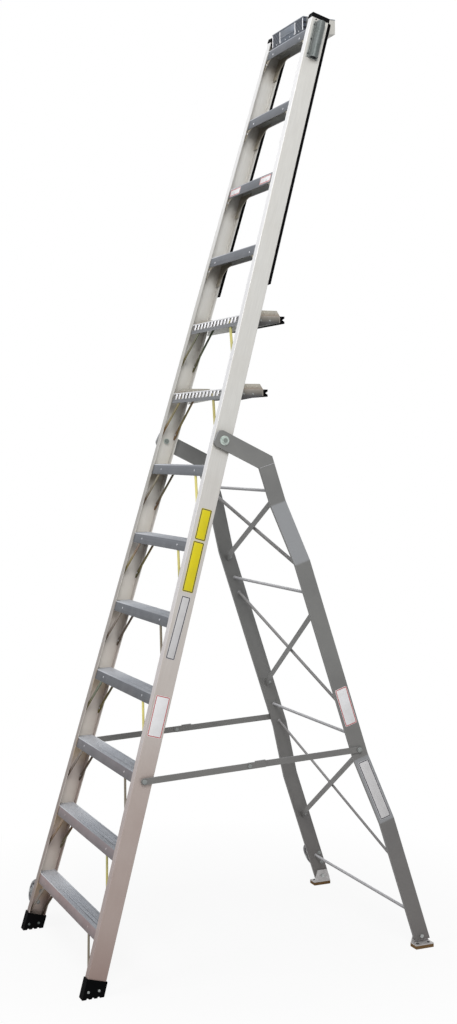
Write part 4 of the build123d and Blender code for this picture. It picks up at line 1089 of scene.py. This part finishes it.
def boot_rivets(rail, off_web, outward):
    """Heads at one height above the floor, on the boot's outer wall (outward 1) or inner wall (-1)."""
    up = (BOOT_RIVET_HEIGHT + BOOT_RIVET_DEPTHS * np.sin(LEAN)) / np.cos(LEAN) / np.cos(TAPER)
    spots = located(rail, off_web, BOOT_RIVET_DEPTHS, up)
    return stamped(BOOT_RIVET, spots, outward * rail.axes[0], rail.axes[1])


outer_heads = [boot_rivets(rail, BOOT_WALL, 1) for rail in RAILS.values()]
inner_heads = [boot_rivets(rail, -RAIL_FLANGE - BOOT_WALL, -1) for rail in RAILS.values()]
add_piece("boot_rivets", CLIMBING, "dull_zinc", *outer_heads)
# The inner heads take the zinc darkened as painted shade.
add_piece("boot_rivets_inner", CLIMBING, "shaded_zinc", *inner_heads)

# %% Cap screws and socket screws
CAP_SCREW_DEPTHS, CAP_SCREW_DROP = np.array([0.020, 0.057]), 0.0065
SOCKET_PLATE, SOCKET_DROP, SOCKET_LENGTH = 0.003, 0.016, 0.152
SOCKET_SCREW_OUT, SOCKET_SCREW_IN = 0.022, 0.014


def top_screws(rail):
    """Two screws under the cap, and three down each flange of the socket."""
    under_cap = located(rail, 0.0, CAP_SCREW_DEPTHS, RAIL_LENGTH - CAP_SCREW_DROP)
    high = RAIL_LENGTH - SOCKET_DROP - SOCKET_SCREW_IN
    low = RAIL_LENGTH - SOCKET_DROP - SOCKET_LENGTH + SOCKET_SCREW_IN
    up, depth = np.meshgrid(np.linspace(low, high, 3), MID_DEPTH + SOCKET_SCREW_OUT * np.array([-1, 1]))
    spots = np.concatenate([under_cap, located(rail, SOCKET_PLATE, depth, up)])
    return stamped(SCREW, spots, rail.axes[0], rail.axes[1])


add_piece("rail_top_screws", CLIMBING, "dark_screw", *[top_screws(rail) for rail in RAILS.values()])

# %% [markdown]
# Edge trims. A rubber bumper runs down the back of each rail's upper part, where it leans on an aircraft.
# The solid is a plain strip; the real one is a crowned bar, so this one takes its place, a little fuller.

# %% Crowned edge trims
TRIM_BOTTOM, TRIM_THICK, TRIM_CORNER = 2.862, 0.0135, 0.003
TRIM_MIDDLE, TRIM_HALF_LENGTH = (RAIL_LENGTH + TRIM_BOTTOM) / 2, (RAIL_LENGTH - TRIM_BOTTOM) / 2
TRIM_CROWN = [(0, -SUNK), (0, 0.0080), (0.0010, 0.0108), (0.0032, 0.0128), (0.0065, TRIM_THICK)]
trim = slab(RAIL_FLANGE / 2, TRIM_HALF_LENGTH, TRIM_CORNER, TRIM_CROWN)
trim_bars = [
    stamped(trim, located(rail, -RAIL_FLANGE / 2, RAIL_DEPTH, TRIM_MIDDLE), rail.axes[1], rail.axes[0])
    for rail in RAILS.values()
]
trims = add_piece("crowned_trims", CLIMBING, "black_rubber", *trim_bars, slot="black_rubber")
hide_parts("edge_trims")

# %% [markdown]
# Tool tray. Sheet metal is never left with a raw top edge: it is rolled into a hem. The hem is a small
# circle carried round the rim; at a corner the circle is stretched along the mitre, so that the tube keeps
# its thickness. On the front, pressed seams with a painted highlight stand at the two dividers and at both
# ends, with a plain plate between the dividers.

# %% Tray hems
TRAY_WALL, TRAY_POCKET, HEM_RADIUS = 0.003, 0.0735, 0.0024
TRAY_WIDE, TRAY_FRONT, TRAY_TOP = tray_high[0], tray_low[1], tray_high[2]
tray_middle, tray_half = (tray_high + tray_low) / 2, (tray_high - tray_low) / 2
DIVIDER_X = TRAY_WIDE - TRAY_POCKET - TRAY_WALL / 2


def rim_hem():
    """A closed hem: one point at each corner of the rim, with an out that is the diagonal."""
    signs = np.array([[1, -1], [-1, -1], [-1, 1], [1, 1]])
    x, y = (signs * [TRAY_WIDE - TRAY_WALL / 2, tray_half[1] - TRAY_WALL / 2] + [0.0, tray_middle[1]]).T
    outs = np.column_stack([signs, np.zeros(4)])
    return rod(located(FLOOR, x, y, TRAY_TOP), outs, UPWARD, HEM_RADIUS, closed=True)


def divider_hem(x):
    """A straight hem along the top of a divider."""
    ends = located(FLOOR, x, [TRAY_FRONT + TRAY_WALL, tray_high[1] - TRAY_WALL], TRAY_TOP)
    return rod(ends, UPWARD, RIGHT, HEM_RADIUS)


hems = [rim_hem(), divider_hem(DIVIDER_X), divider_hem(-DIVIDER_X)]
add_piece("tray_hems", CLIMBING, "sheet_aluminium", *hems, slot="sheet_aluminium")

# %% Tray seams, plate and rivets
SEAM_HALF_WIDTH, SEAM_CORNER, SEAM_END, SEAM_EDGE = 0.0028, 0.0022, 0.005, 0.0035
PLATE_MARGIN, PLATE_HALF_HEIGHT, PLATE_CORNER, PLATE_RISE = 0.010, 0.015, 0.004, 0.008
TRAY_RIVET_COUNT, TRAY_RIVET_RISE = 6, 0.009
SEAM_PROFILE = [(0, -SUNK), (0, 0.0008), (0.0012, 0.0016)]
PLATE_PROFILE = [(0, -SUNK), (0, 0.0010), (0.0006, 0.0015)]


def on_tray_front(shape, x, z):
    """Copies of a shape on the tray's front."""
    return stamped(shape, located(FLOOR, x, TRAY_FRONT, z), FRONT, RIGHT)


seam = slab(SEAM_HALF_WIDTH, tray_half[2] - SEAM_END, SEAM_CORNER, SEAM_PROFILE)
seam_x = np.array([-1, 1, -1, 1]) * np.repeat([DIVIDER_X, TRAY_WIDE - SEAM_EDGE], 2)
# The seams carry a painted highlight.
add_piece("tray_seams", CLIMBING, "highlight_metal", on_tray_front(seam, seam_x, tray_middle[2]))

plate = slab(DIVIDER_X - PLATE_MARGIN, PLATE_HALF_HEIGHT, PLATE_CORNER, PLATE_PROFILE)
plate_shape = on_tray_front(plate, 0.0, tray_middle[2] + PLATE_RISE)
add_piece("tray_front_plate", CLIMBING, "sheet_aluminium", plate_shape, slot="sheet_aluminium")

rivet_x = np.linspace(-TRAY_WIDE, TRAY_WIDE, TRAY_RIVET_COUNT + 2)[1:-1]
tray_rivets = on_tray_front(SMALL_RIVET, rivet_x, tray_low[2] + TRAY_RIVET_RISE)
add_piece("tray_rivets", CLIMBING, "rivet_metal", tray_rivets)

# %% [markdown]
# Standing platforms. Each grip hole is punched upwards, which leaves a saw-toothed rim round a diamond.
# The bars between the slots of the front skirt are pressed out, and they and the rounded nosing along the
# front edge are worn bright and carry a painted highlight. Small bumps on the upright lips stop a boot from
# sliding off.

# %% Layout of the platforms
PLATFORM_REACH, PLATFORM_SLOTS, SLOT_TOP, SLOT_HEIGHT = 0.180, 14, 0.004, 0.022
LIP_HEIGHT, LIP_WALL, PLAY = 0.022, 0.003, 0.0004
Platform = namedtuple("Platform", "half top front rear")


def platform_layout(step):
    """Half-width, height, and the depths of the front top edge and of the rear face."""
    top = top_line(0.0, step) * np.cos(LEAN) + PLATFORM_RISE
    highest = top / np.cos(LEAN) + PLATFORM_REACH * np.sin(LEAN) + LIP_HEIGHT * np.cos(LEAN)
    half = rail_outer(highest) - RAIL_FLANGE / np.cos(TAPER) - PLAY
    level = FRONT_Y + top * np.tan(LEAN)
    return Platform(half, top, level + TREAD_FRONT / np.cos(LEAN), level + PLATFORM_REACH)


PLATFORMS = [platform_layout(step) for step in PLATFORM_STEPS]
print("platforms", [tuple(round(value, 4) for value in platform) for platform in PLATFORMS])

# %% Grip teeth round the holes
GRIP_ROWS, GRIP_COLUMNS, GRIP_LENGTH, GRIP_WIDTH = 4, 9, 0.030, 0.015
POINTS_A_SIDE, CREST_LOW, TOOTH = 4, 0.0010, 0.0012
RIM_SCALES = 1.22, 1.12, 1.04, 1.0


def grip_rim():
    """A ring round a diamond: points run evenly along its four sides, and the loops are the outer foot, the
    outer crest, the inner crest and the inner foot. Every second point of the crest is a tooth."""
    corners = np.array([[1, 0], [0, 1], [-1, 0], [0, -1]]) * [GRIP_LENGTH / 2, GRIP_WIDTH / 2]
    t = (np.arange(POINTS_A_SIDE) / POINTS_A_SIDE)[None, :, None]
    outline = (corners[:, None] * (1 - t) + np.roll(corners, -1, axis=0)[:, None] * t).reshape(-1, 2)
    crest = CREST_LOW + TOOTH * (np.arange(len(outline)) % 2)
    foot = np.full(len(outline), -SUNK)
    loops = zip(RIM_SCALES, (foot, crest, crest, foot))
    rings = [np.column_stack([outline * scale, height]) for scale, height in loops]
    return skinned(np.stack(rings), closed=True)


def grip_spots(platform):
    """Centres of the holes: rows across the platform, every second row one hole shorter."""
    row = (platform.rear - platform.front) / (GRIP_ROWS + 1)
    column = 2 * platform.half / (GRIP_COLUMNS + 1)
    counts = GRIP_COLUMNS - np.arange(GRIP_ROWS) % 2
    x = np.concatenate([(np.arange(count) - (count - 1) / 2) * column for count in counts])
    y = np.repeat(platform.front + (np.arange(GRIP_ROWS) + 1) * row, counts)
    return located(FLOOR, x, y, platform.top)


grips = [stamped(grip_rim(), grip_spots(platform), UPWARD, RIGHT) for platform in PLATFORMS]
add_piece("platform_grip_teeth", CLIMBING, "platform_aluminium", *grips, slot="platform_aluminium")

# %% Pressed bars and nosings
BAR_SHARE, BAR_HALF_HEIGHT, BAR_CORNER, NOSING_RADIUS = 0.42, 0.0125, 0.0036, 0.0028
BAR_PROFILE = [(0, -SUNK), (0, 0.0006), (0.0012, 0.0017), (0.0028, 0.0022)]


def pressed_bars(platform):
    """One rounded bar between neighbouring slots, on the sloping front skirt."""
    pitch = 2 * platform.half / PLATFORM_SLOTS
    bar = slab(BAR_SHARE * pitch / 2, BAR_HALF_HEIGHT, BAR_CORNER, BAR_PROFILE)
    x = -platform.half + np.arange(1, PLATFORM_SLOTS) * pitch
    fall = SLOT_TOP + SLOT_HEIGHT / 2
    spots = located(FLOOR, x, platform.front - fall * np.sin(LEAN), platform.top - fall * np.cos(LEAN))
    return stamped(bar, spots, -DEPTH, ACROSS)


def nosing(platform):
    """A round edge along the front: a circle carried straight across the platform."""
    ends = located(FLOOR, [-platform.half, platform.half], platform.front, platform.top - NOSING_RADIUS / 2)
    return rod(ends, BACKWARD, UPWARD, NOSING_RADIUS)


bars = [make(platform) for platform in PLATFORMS for make in (pressed_bars, nosing)]
# The bars and nosings are worn and carry a painted highlight.
add_piece("platform_pressed_bars", CLIMBING, "highlight_metal", *bars)

# %% Bumps on the lips, rivets on the brackets
BUMP = dome(0.0045, 0.0014, 10)
BUMP_RISE, BUMP_START, BUMP_END, BUMP_COUNT = 0.011, 0.046, 0.026, 6
BRACKET_RIVET_FALL, BRACKET_RIVETS_BACK = 0.018, np.array([0.022, 0.062])


def lip_bumps(platform, side):
    """A row of bumps on both faces of one lip."""
    y = np.linspace(platform.front + BUMP_START, platform.rear - BUMP_END, BUMP_COUNT)
    z = platform.top + BUMP_RISE
    outer = located(FLOOR, side * platform.half, y, z)
    inner = located(FLOOR, side * (platform.half - LIP_WALL), y, z)
    return joined(stamped(BUMP, outer, side * RIGHT, FRONT), stamped(BUMP, inner, -side * RIGHT, FRONT))


def bracket_rivets(platform, side):
    """Two rivets on the outside of one bracket, behind the rail."""
    z = platform.top - BRACKET_RIVET_FALL
    rail_back = FRONT_Y + z * np.tan(LEAN) + RAIL_DEPTH / np.cos(LEAN)
    spots = located(FLOOR, side * platform.half, rail_back + BRACKET_RIVETS_BACK, z)
    return stamped(RIVET, spots, side * RIGHT, FRONT)


platform_ends = [(platform, side) for platform in PLATFORMS for side in SIDES.values()]
add_piece("platform_lip_bumps", CLIMBING, "lip_aluminium", *[lip_bumps(*end) for end in platform_ends])
add_piece("platform_bracket_rivets", CLIMBING, "dull_zinc", *[bracket_rivets(*end) for end in platform_ends])

# %% [markdown]
# Rear support. Its legs are flat bars with two outward joggles, so the distance of the inner face from the
# mid-plane changes in straight stretches with the drop below the fold pivot, and numpy interpolates it. The
# round cross rods are welded to that face, and the bent tabs of the flat straps are bolted to it.

# %% Layout of the legs and rods
LEG_OFFSET, LEG_WIDTH, LEG_THICKNESS = 0.1425, 0.068, 0.0127
ARM_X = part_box("rear_arm_right")[0][0]
SHOE_DROP = -(SHOE_PIVOT - FOLD_PIVOT) @ UP_LEGS
TOP_ROD_DROP, BOTTOM_ROD_RISE, ROD_DIAMETER = 0.259, 0.1045, 0.0127
ROD_SPACING = np.array([0.0, 0.2343, 0.5703, 1.0])
ROD_DROPS = TOP_ROD_DROP + ROD_SPACING * (SHOE_DROP - BOTTOM_ROD_RISE - TOP_ROD_DROP)
FLARE_STARTS = ROD_DROPS[[0, 2]] + [0.052, 0.098]
FLARE_RUNS, FLARE_STEPS = np.array([0.251, 0.273]), np.array([0.062, 0.067])
CROSS_MARGINS = np.array([[0.031, 0.097], [0.073, 0.108], [0.084, 0.217]])
CROSS_ROD_DIAMETERS = np.array([0.015, 0.013, 0.011])
UPPER_DROPS, LOWER_DROPS = ROD_DROPS[:-1] + CROSS_MARGINS[:, 0], ROD_DROPS[1:] - CROSS_MARGINS[:, 1]
STRAP_WALL, STRAP_TAB = 0.003, 0.034


def leg_inner(drop):
    """Distance of a leg's inner face from the mid-plane: level, flare, level, flare, level."""
    bends = np.ravel(np.column_stack([FLARE_STARTS, FLARE_STARTS + FLARE_RUNS]))
    stages = ARM_X + np.array([0.0, FLARE_STEPS[0], FLARE_STEPS[0], FLARE_STEPS.sum()])
    return np.interp(drop, bends, stages)


print("rods", ROD_DROPS.round(4), "legs", leg_inner(ROD_DROPS).round(4))

# %% Weld beads
BEAD, BEAD_SWELL, BEAD_RIPPLES, BEAD_SIDES = 0.0024, 0.14, 11, 6


def weld_ring(radius):
    """A bead round a rod: a circle of the bead's size carried round the rod, swelling with a cosine."""
    around, phi = round_angles(2 * BEAD_RIPPLES)[:, None], round_angles(BEAD_SIDES)
    thick = BEAD * (1.0 + BEAD_SWELL * np.cos(BEAD_RIPPLES * around))
    reach = radius + thick * np.cos(phi)
    ring = np.stack([reach * np.cos(around), reach * np.sin(around), -thick * np.sin(phi)], axis=2)
    return skinned(ring, closed=True)


def rod_welds(side, sloping_drops):
    """On one leg, a bead round each end of the level rods and of the sloping rods."""
    drops = np.concatenate([ROD_DROPS, sloping_drops])
    diameters = np.concatenate([np.full(len(ROD_DROPS), ROD_DIAMETER), CROSS_ROD_DIAMETERS])
    ends = located(REAR, side * leg_inner(drops), LEG_OFFSET, -drops)
    return joined(*[
        stamped(weld_ring(diameter / 2), end[None], -side * RIGHT, REARWARD)
        for end, diameter in zip(ends, diameters)
    ])


beads = [rod_welds(1, LOWER_DROPS), rod_welds(-1, UPPER_DROPS)]
add_piece("rod_welds", REAR_BODY, "silver_paint", *beads, slot="grey_paint")

# %% Welded seam at the knees
SEAM_DROP, SEAM_RADIUS, SEAM_RINGS = 0.1526, 0.0011, 40
SEAM_RIPPLES, SEAM_SWELL, SEAM_SHARE = 17, 0.25, 0.96


def knee_seam(x):
    """A fine bead straight across the bar: a circle whose size swells with a cosine along the seam."""
    t = np.linspace(0.0, 1.0, SEAM_RINGS)
    centres = located(REAR, x, LEG_OFFSET + (t - 0.5) * LEG_WIDTH * SEAM_SHARE, -SEAM_DROP)
    size = SEAM_RADIUS * (1.0 + SEAM_SWELL * np.cos(2 * np.pi * SEAM_RIPPLES * t))
    return rod(centres, UP_LEGS, RIGHT, size)


bar_faces = (ARM_X, ARM_X + LEG_THICKNESS, -ARM_X, -ARM_X - LEG_THICKNESS)
add_piece("knee_seams", REAR_BODY, "silver_paint", *[knee_seam(x) for x in bar_faces], slot="grey_paint")

# %% Strap bolts and fork bolts
TAB_BOLT_SHARE, FRONT_WHEEL_HEIGHT = 0.55, 0.148
STRAP_BOLT, FORK_BOLT = bolt_head(0.012, 0.0045), bolt_head(0.013, 0.005)
REAR_WHEEL_RISE, REAR_WHEEL_BACK, FORK_BOLT_BACK = 0.0865, 0.008, 0.012
FORK_BOLTS_OUT = 0.024 * np.array([-1, 1])


def strap_bolts(side, drops):
    """On one leg, a bolt's head on the tab of each strap."""
    depth = LEG_OFFSET - CROSS_ROD_DIAMETERS / 2 - PLAY - STRAP_WALL + TAB_BOLT_SHARE * STRAP_TAB
    heads = located(REAR, side * (leg_inner(drops) - STRAP_WALL), depth, -drops)
    return stamped(STRAP_BOLT, heads, -side * RIGHT, REARWARD)


def leg_fork_bolts():
    """Two bolts through the left leg into the rear wheel's fork, beside the lowest rod."""
    drops = SHOE_DROP - REAR_WHEEL_RISE + FORK_BOLTS_OUT
    heads = located(REAR, -leg_inner(drops), LEG_OFFSET + REAR_WHEEL_BACK + FORK_BOLT_BACK, -drops)
    return stamped(FORK_BOLT, heads, RIGHT, REARWARD)


def rail_fork_bolts(rail):
    """Two bolts through a rail's web into the front wheel's fork."""
    heads = located(rail, -RAIL_WALL, MID_DEPTH, FRONT_WHEEL_HEIGHT + FORK_BOLTS_OUT)
    return stamped(FORK_BOLT, heads, -rail.axes[0], rail.axes[1])


rear_bolts = [strap_bolts(1, UPPER_DROPS), strap_bolts(-1, LOWER_DROPS), leg_fork_bolts()]
add_piece("rear_support_bolts", REAR_BODY, "dull_zinc", *rear_bolts, slot="bolt_steel")
add_piece("front_wheel_fork_bolts", CLIMBING, "dull_zinc", rail_fork_bolts(RAILS[-1]), slot="bolt_steel")

# %% Bolts at the spreader's ends
SPREADER_DROP, SPREADER_BOLT = 1.375, bolt_head(0.015, 0.006)
for name, side in SIDES.items():
    outer_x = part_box(f"spreader_rear_link_{name}")[(1 + side) // 2][0]
    end_spot = located(REAR, outer_x, LEG_OFFSET, -SPREADER_DROP)
    end_bolt = stamped(SPREADER_BOLT, end_spot, side * RIGHT, REARWARD)
    add_piece(f"spreader_end_bolt_{name}", f"spreader_rear_{name}", "dull_zinc", end_bolt, slot="bolt_steel")

# %% Bolts of the shoes' pads
PAD_HEIGHT, SHOE_PLATE, PAD_BOLT_OUT, PAD_BOLT_SPREAD = 0.015, 0.004, 0.013, 0.026
PAD_BOLT, PAD_BOLTS_Y = bolt_head(0.009, 0.0035), SHOE_PIVOT[1] + PAD_BOLT_SPREAD * np.array([-1, 1])
for name, side in SIDES.items():
    pad_x = side * (leg_inner(SHOE_DROP) + LEG_THICKNESS + PAD_BOLT_OUT)
    pad_spots = located(FLOOR, pad_x, PAD_BOLTS_Y, PAD_HEIGHT + SHOE_PLATE)
    pad_bolts = stamped(PAD_BOLT, pad_spots, UPWARD, RIGHT)
    add_piece(f"shoe_pad_bolts_{name}", f"shoe_{name}", "dark_screw", pad_bolts)

# %% [markdown]
# Side wheels. Moulded hubs are ribbed between boss and rim, to be stiff without being solid. One rib is a
# small rounded bar, stamped round the axle on both faces; it rides on the wheel and turns with it.

# %% Wheel ribs
RIB_COUNT, RIB_MIDDLE, HUB_HALF_WEB = 6, 0.0255, 0.007
RIB_HALF_LENGTH, RIB_HALF_WIDTH, RIB_CORNER = 0.0095, 0.0022, 0.0018
RIB_PROFILE = [(0, -SUNK), (0, 0.0030), (0.0008, 0.0042)]
rib = slab(RIB_HALF_LENGTH, RIB_HALF_WIDTH, RIB_CORNER, RIB_PROFILE)
joint_axis = {joint["name"]: np.array(joint["axis"]) for joint in frame["joints"]}
for wheel in ("front_wheel", "rear_wheel"):
    centre, axis = joint_at[f"{wheel}_spin"], joint_axis[f"{wheel}_spin"]
    turn = round_angles(RIB_COUNT) + np.pi / RIB_COUNT
    first = np.cross(axis, FRONT) / np.linalg.norm(np.cross(axis, FRONT))
    radial = np.cos(turn)[:, None] * first + np.sin(turn)[:, None] * np.cross(axis, first)
    ribs = [
        stamped(rib, centre + RIB_MIDDLE * radial + face * HUB_HALF_WEB * axis, face * axis, radial)
        for face in (1, -1)
    ]
    add_piece(f"{wheel}_ribs", wheel, "wheel_plastic", *ribs, slot="wheel_plastic")

# %% [markdown]
# Vinyl panels. The right rail, the right leg and one tread carry stuck-on vinyl. Here the panels are blank:
# a thin rounded sheet with a soft edge, and a printed line a little way in from it. The line is a flat band
# between two insets of the same rounded outline, lifted a hair above the sheet.

# %% Sheets and lines
VINYL, LIFT, VINYL_CORNER, SOFT_EDGE = 0.0003, 0.0002, 0.006, 0.0003
LINE_INSET, LINE_WIDTH = 0.0016, 0.0032
LINE_FAR, LINE_TOP = LINE_INSET + LINE_WIDTH, VINYL + LIFT
SHEET_PROFILE = [(0, -LIFT), (0, VINYL / 2), (SOFT_EDGE, VINYL)]
LINE_PROFILE = [(LINE_INSET, VINYL / 2), (LINE_INSET, LINE_TOP), (LINE_FAR, LINE_TOP), (LINE_FAR, VINYL / 2)]
Panel = namedtuple("Panel", "name body vinyl ink size spot normal tangent")


def add_panel(panel):
    """The sheet and, on top of it, its line."""
    half_width, half_height = np.array(panel.size) / 2
    sheet = slab(half_width, half_height, VINYL_CORNER, SHEET_PROFILE)
    line = slab(half_width, half_height, VINYL_CORNER, LINE_PROFILE, closed=True)
    stuck_on = panel.spot, panel.normal, panel.tangent
    add_piece(panel.name, panel.body, panel.vinyl, stamped(sheet, *stuck_on))
    add_piece(f"{panel.name}_line", panel.body, panel.ink, stamped(line, *stuck_on))


# %% Panels
TREAD_PANEL_SIZE, PANEL_STEP = (0.104, 0.032), 11


def rail_panel(name, vinyl, ink, size, depth, up, tilt=0.0):
    """A panel on the right rail's web, turned a little about its middle if it was stuck on askew."""
    rail = RAILS[1]
    tangent = rail.axes[1] * np.cos(tilt) + rail.axes[2] * np.sin(tilt)
    return Panel(name, CLIMBING, vinyl, ink, size, located(rail, 0.0, depth, up), rail.axes[0], tangent)


def leg_panel(name, vinyl, ink, size, across, drop, slope=0.0):
    """A panel on the right leg's outer face, which leans out by the slope where the leg flares."""
    lean = np.hypot(1.0, slope)
    spot = located(REAR, leg_inner(drop) + LEG_THICKNESS * lean, across, -drop)
    return Panel(name, REAR_BODY, vinyl, ink, size, spot, (RIGHT + slope * UP_LEGS) / lean, REARWARD)


def tread_panel(name, x):
    """A small panel on a tread's front skirt."""
    spot = located(LADDER, x, TREAD_FRONT, top_line(TREAD_FRONT, PANEL_STEP) - TREAD_SKIRT / 2)
    return Panel(name, CLIMBING, "white_vinyl", "red_ink", TREAD_PANEL_SIZE, spot, -DEPTH, ACROSS)


low_flare = FLARE_STEPS[1] / FLARE_RUNS[1]
PANELS = [
    rail_panel("yellow_panel_upper", "yellow_vinyl", "line_ink", (0.046, 0.126), 0.0395, 1.863),
    rail_panel("yellow_panel_lower", "yellow_vinyl", "line_ink", (0.047, 0.202), 0.038, 1.693),
    rail_panel("silver_strip", "silver_vinyl", "line_ink", (0.038, 0.252), 0.0342, 1.449, -0.033),
    rail_panel("white_panel", "white_vinyl", "red_ink", (0.060, 0.163), 0.039, 1.0986),
    leg_panel("leg_white_panel", "white_vinyl", "red_ink", (0.055, 0.162), 0.1432, 1.184),
    leg_panel("leg_silver_strip", "silver_vinyl", "line_ink", (0.050, 0.250), 0.1438, 1.5475, low_flare),
    tread_panel("tread_panel_left", -0.156),
    tread_panel("tread_panel_right", 0.150),
]
for panel in PANELS:
    add_panel(panel)

# %% [markdown]
# Camera. It stands where the photograph was taken from: in front of the ladder, well round to its right,
# at about half its height. The picture is 457 by 1024 pixels; the focal length is given in those pixels,
# and the small shift keeps the ladder framed as it was without tilting the verticals.

# %% Camera
PICTURE_HEIGHT, FOCAL_PIXELS, SHIFT_RIGHT, SHIFT_UP = 1024.0, 1421.0, 5.6, 34.5
SENSOR = 24.0
CAMERA_AT = 5.4651, -2.26668, 2.0948
YAW, PITCH, ROLL = np.radians([67.09, -4.169, -0.424])


def camera_axes(yaw, pitch, roll):
    """Right, up and back of a camera that looks along +Y, turned by yaw, then pitch, then roll."""
    ahead = np.array([-np.sin(yaw) * np.cos(pitch), np.cos(yaw) * np.cos(pitch), np.sin(pitch)])
    right = np.array([np.cos(yaw), np.sin(yaw), 0.0])
    up = np.cross(right, ahead)
    return right * np.cos(roll) + up * np.sin(roll), up * np.cos(roll) - right * np.sin(roll), -ahead


def stand(thing, at, axes):
    """An object put at a place, with its X, Y and Z along three axes."""
    thing.matrix_world = Matrix(np.column_stack(axes).tolist()).to_4x4()
    thing.location = at


lens = bpy.data.cameras.new("photo_camera")
lens.sensor_fit = "VERTICAL"
lens.sensor_height = SENSOR
lens.lens = SENSOR * FOCAL_PIXELS / PICTURE_HEIGHT
lens.shift_x = SHIFT_RIGHT / PICTURE_HEIGHT
lens.shift_y = SHIFT_UP / PICTURE_HEIGHT
camera = in_scene("photo_camera", lens)
stand(camera, CAMERA_AT, camera_axes(YAW, PITCH, ROLL))
bpy.context.scene.camera = camera
print("lens", round(lens.lens, 2), "mm")

# %% [markdown]
# Studio. Two large soft lamps hang high, so that the light falls off towards the floor, as in the
# photograph: one in front of the ladder, for the flanges and skirts, and a stronger one on the camera's
# side, for the webs. The floor is a pale sheet that keeps the shadow near the feet and fades to plain
# white further out, where it meets the white world.

# %% Lamps
LAMP_SIZE = 2.6
Lamp = namedtuple("Lamp", "name at aim power")
LAMPS = [
    Lamp("front_lamp", (0.6, -4.4, 5.5), (0.0, -0.1, 3.0), 104.0),
    Lamp("side_lamp", (4.8, -1.7, 5.6), (0.0, 0.1, 2.8), 225.0),
]


def add_lamp(lamp):
    """A square area lamp that looks at a point."""
    light = bpy.data.lights.new(lamp.name, "AREA")
    light.size = LAMP_SIZE
    light.energy = lamp.power
    back = np.subtract(lamp.at, lamp.aim)
    back /= np.linalg.norm(back)
    side = np.cross(UPWARD, back)
    side /= np.linalg.norm(side)
    stand(in_scene(lamp.name, light), lamp.at, (side, np.cross(back, side), back))
    print(lamp.name, lamp.power, "W")


for lamp in LAMPS:
    add_lamp(lamp)

# %% World
AMBIENT, WHITE = 0.27, (1.0, 1.0, 1.0, 1.0)


def seen_directly(tree):
    """1 for rays from the camera and for reflected or refracted ones, 0 for light that falls on things."""
    path = add_node(tree, "ShaderNodeLightPath").outputs
    mirror_or_glass = computed("MAXIMUM", path["Is Glossy Ray"], path["Is Transmission Ray"])
    return computed("MAXIMUM", path["Is Camera Ray"], mirror_or_glass)


world = bpy.data.worlds.new("studio")
bpy.context.scene.world = world
world.use_nodes = True
background = world.node_tree.nodes["Background"]
feed(background.inputs["Color"], WHITE)
feed(background.inputs["Strength"], spread(seen_directly(world.node_tree), 0.0, 1.0, AMBIENT, 1.0))
bpy.context.scene.view_settings.view_transform = "Standard"
print("world", world.name, "ambient", AMBIENT)

# %% Floor
FLOOR_REACH, PALE_WITHIN, WHITE_BEYOND, WHITE_NEAR = 40.0, 0.7, 1.9, 0.90
PALE = 0.9, 0.9, 0.9, 1.0


def floor_finish():
    """Pale near the ladder, where it shows the shadow, and plain white beyond."""
    material = bpy.data.materials.new("studio_floor")
    material.use_nodes = True
    tree = material.node_tree
    tree.nodes.remove(tree.nodes["Principled BSDF"])
    distance = reckoned("LENGTH", add_node(tree, "ShaderNodeTexCoord").outputs["Object"])
    whiteness = spread(distance, PALE_WITHIN, WHITE_BEYOND, WHITE_NEAR, 1.0)
    pale = add_node(tree, "ShaderNodeBsdfDiffuse", {"Color": PALE}).outputs[0]
    white = add_node(tree, "ShaderNodeEmission", {"Color": WHITE, "Strength": 1.0}).outputs[0]
    shown = overlap(whiteness, seen_directly(tree))
    mixed = add_node(tree, "ShaderNodeMixShader", {0: shown, 1: pale, 2: white})
    feed(tree.nodes["Material Output"].inputs["Surface"], mixed.outputs[0])
    return material


floor_mesh = bpy.data.meshes.new("studio_floor")
floor_corners = np.array([[-1, -1, 0], [1, -1, 0], [1, 1, 0], [-1, 1, 0]]) * FLOOR_REACH
floor_mesh.from_pydata(floor_corners, [], [[0, 1, 2, 3]])
floor_mesh.materials.append(floor_finish())
floor = in_scene("studio_floor", floor_mesh)
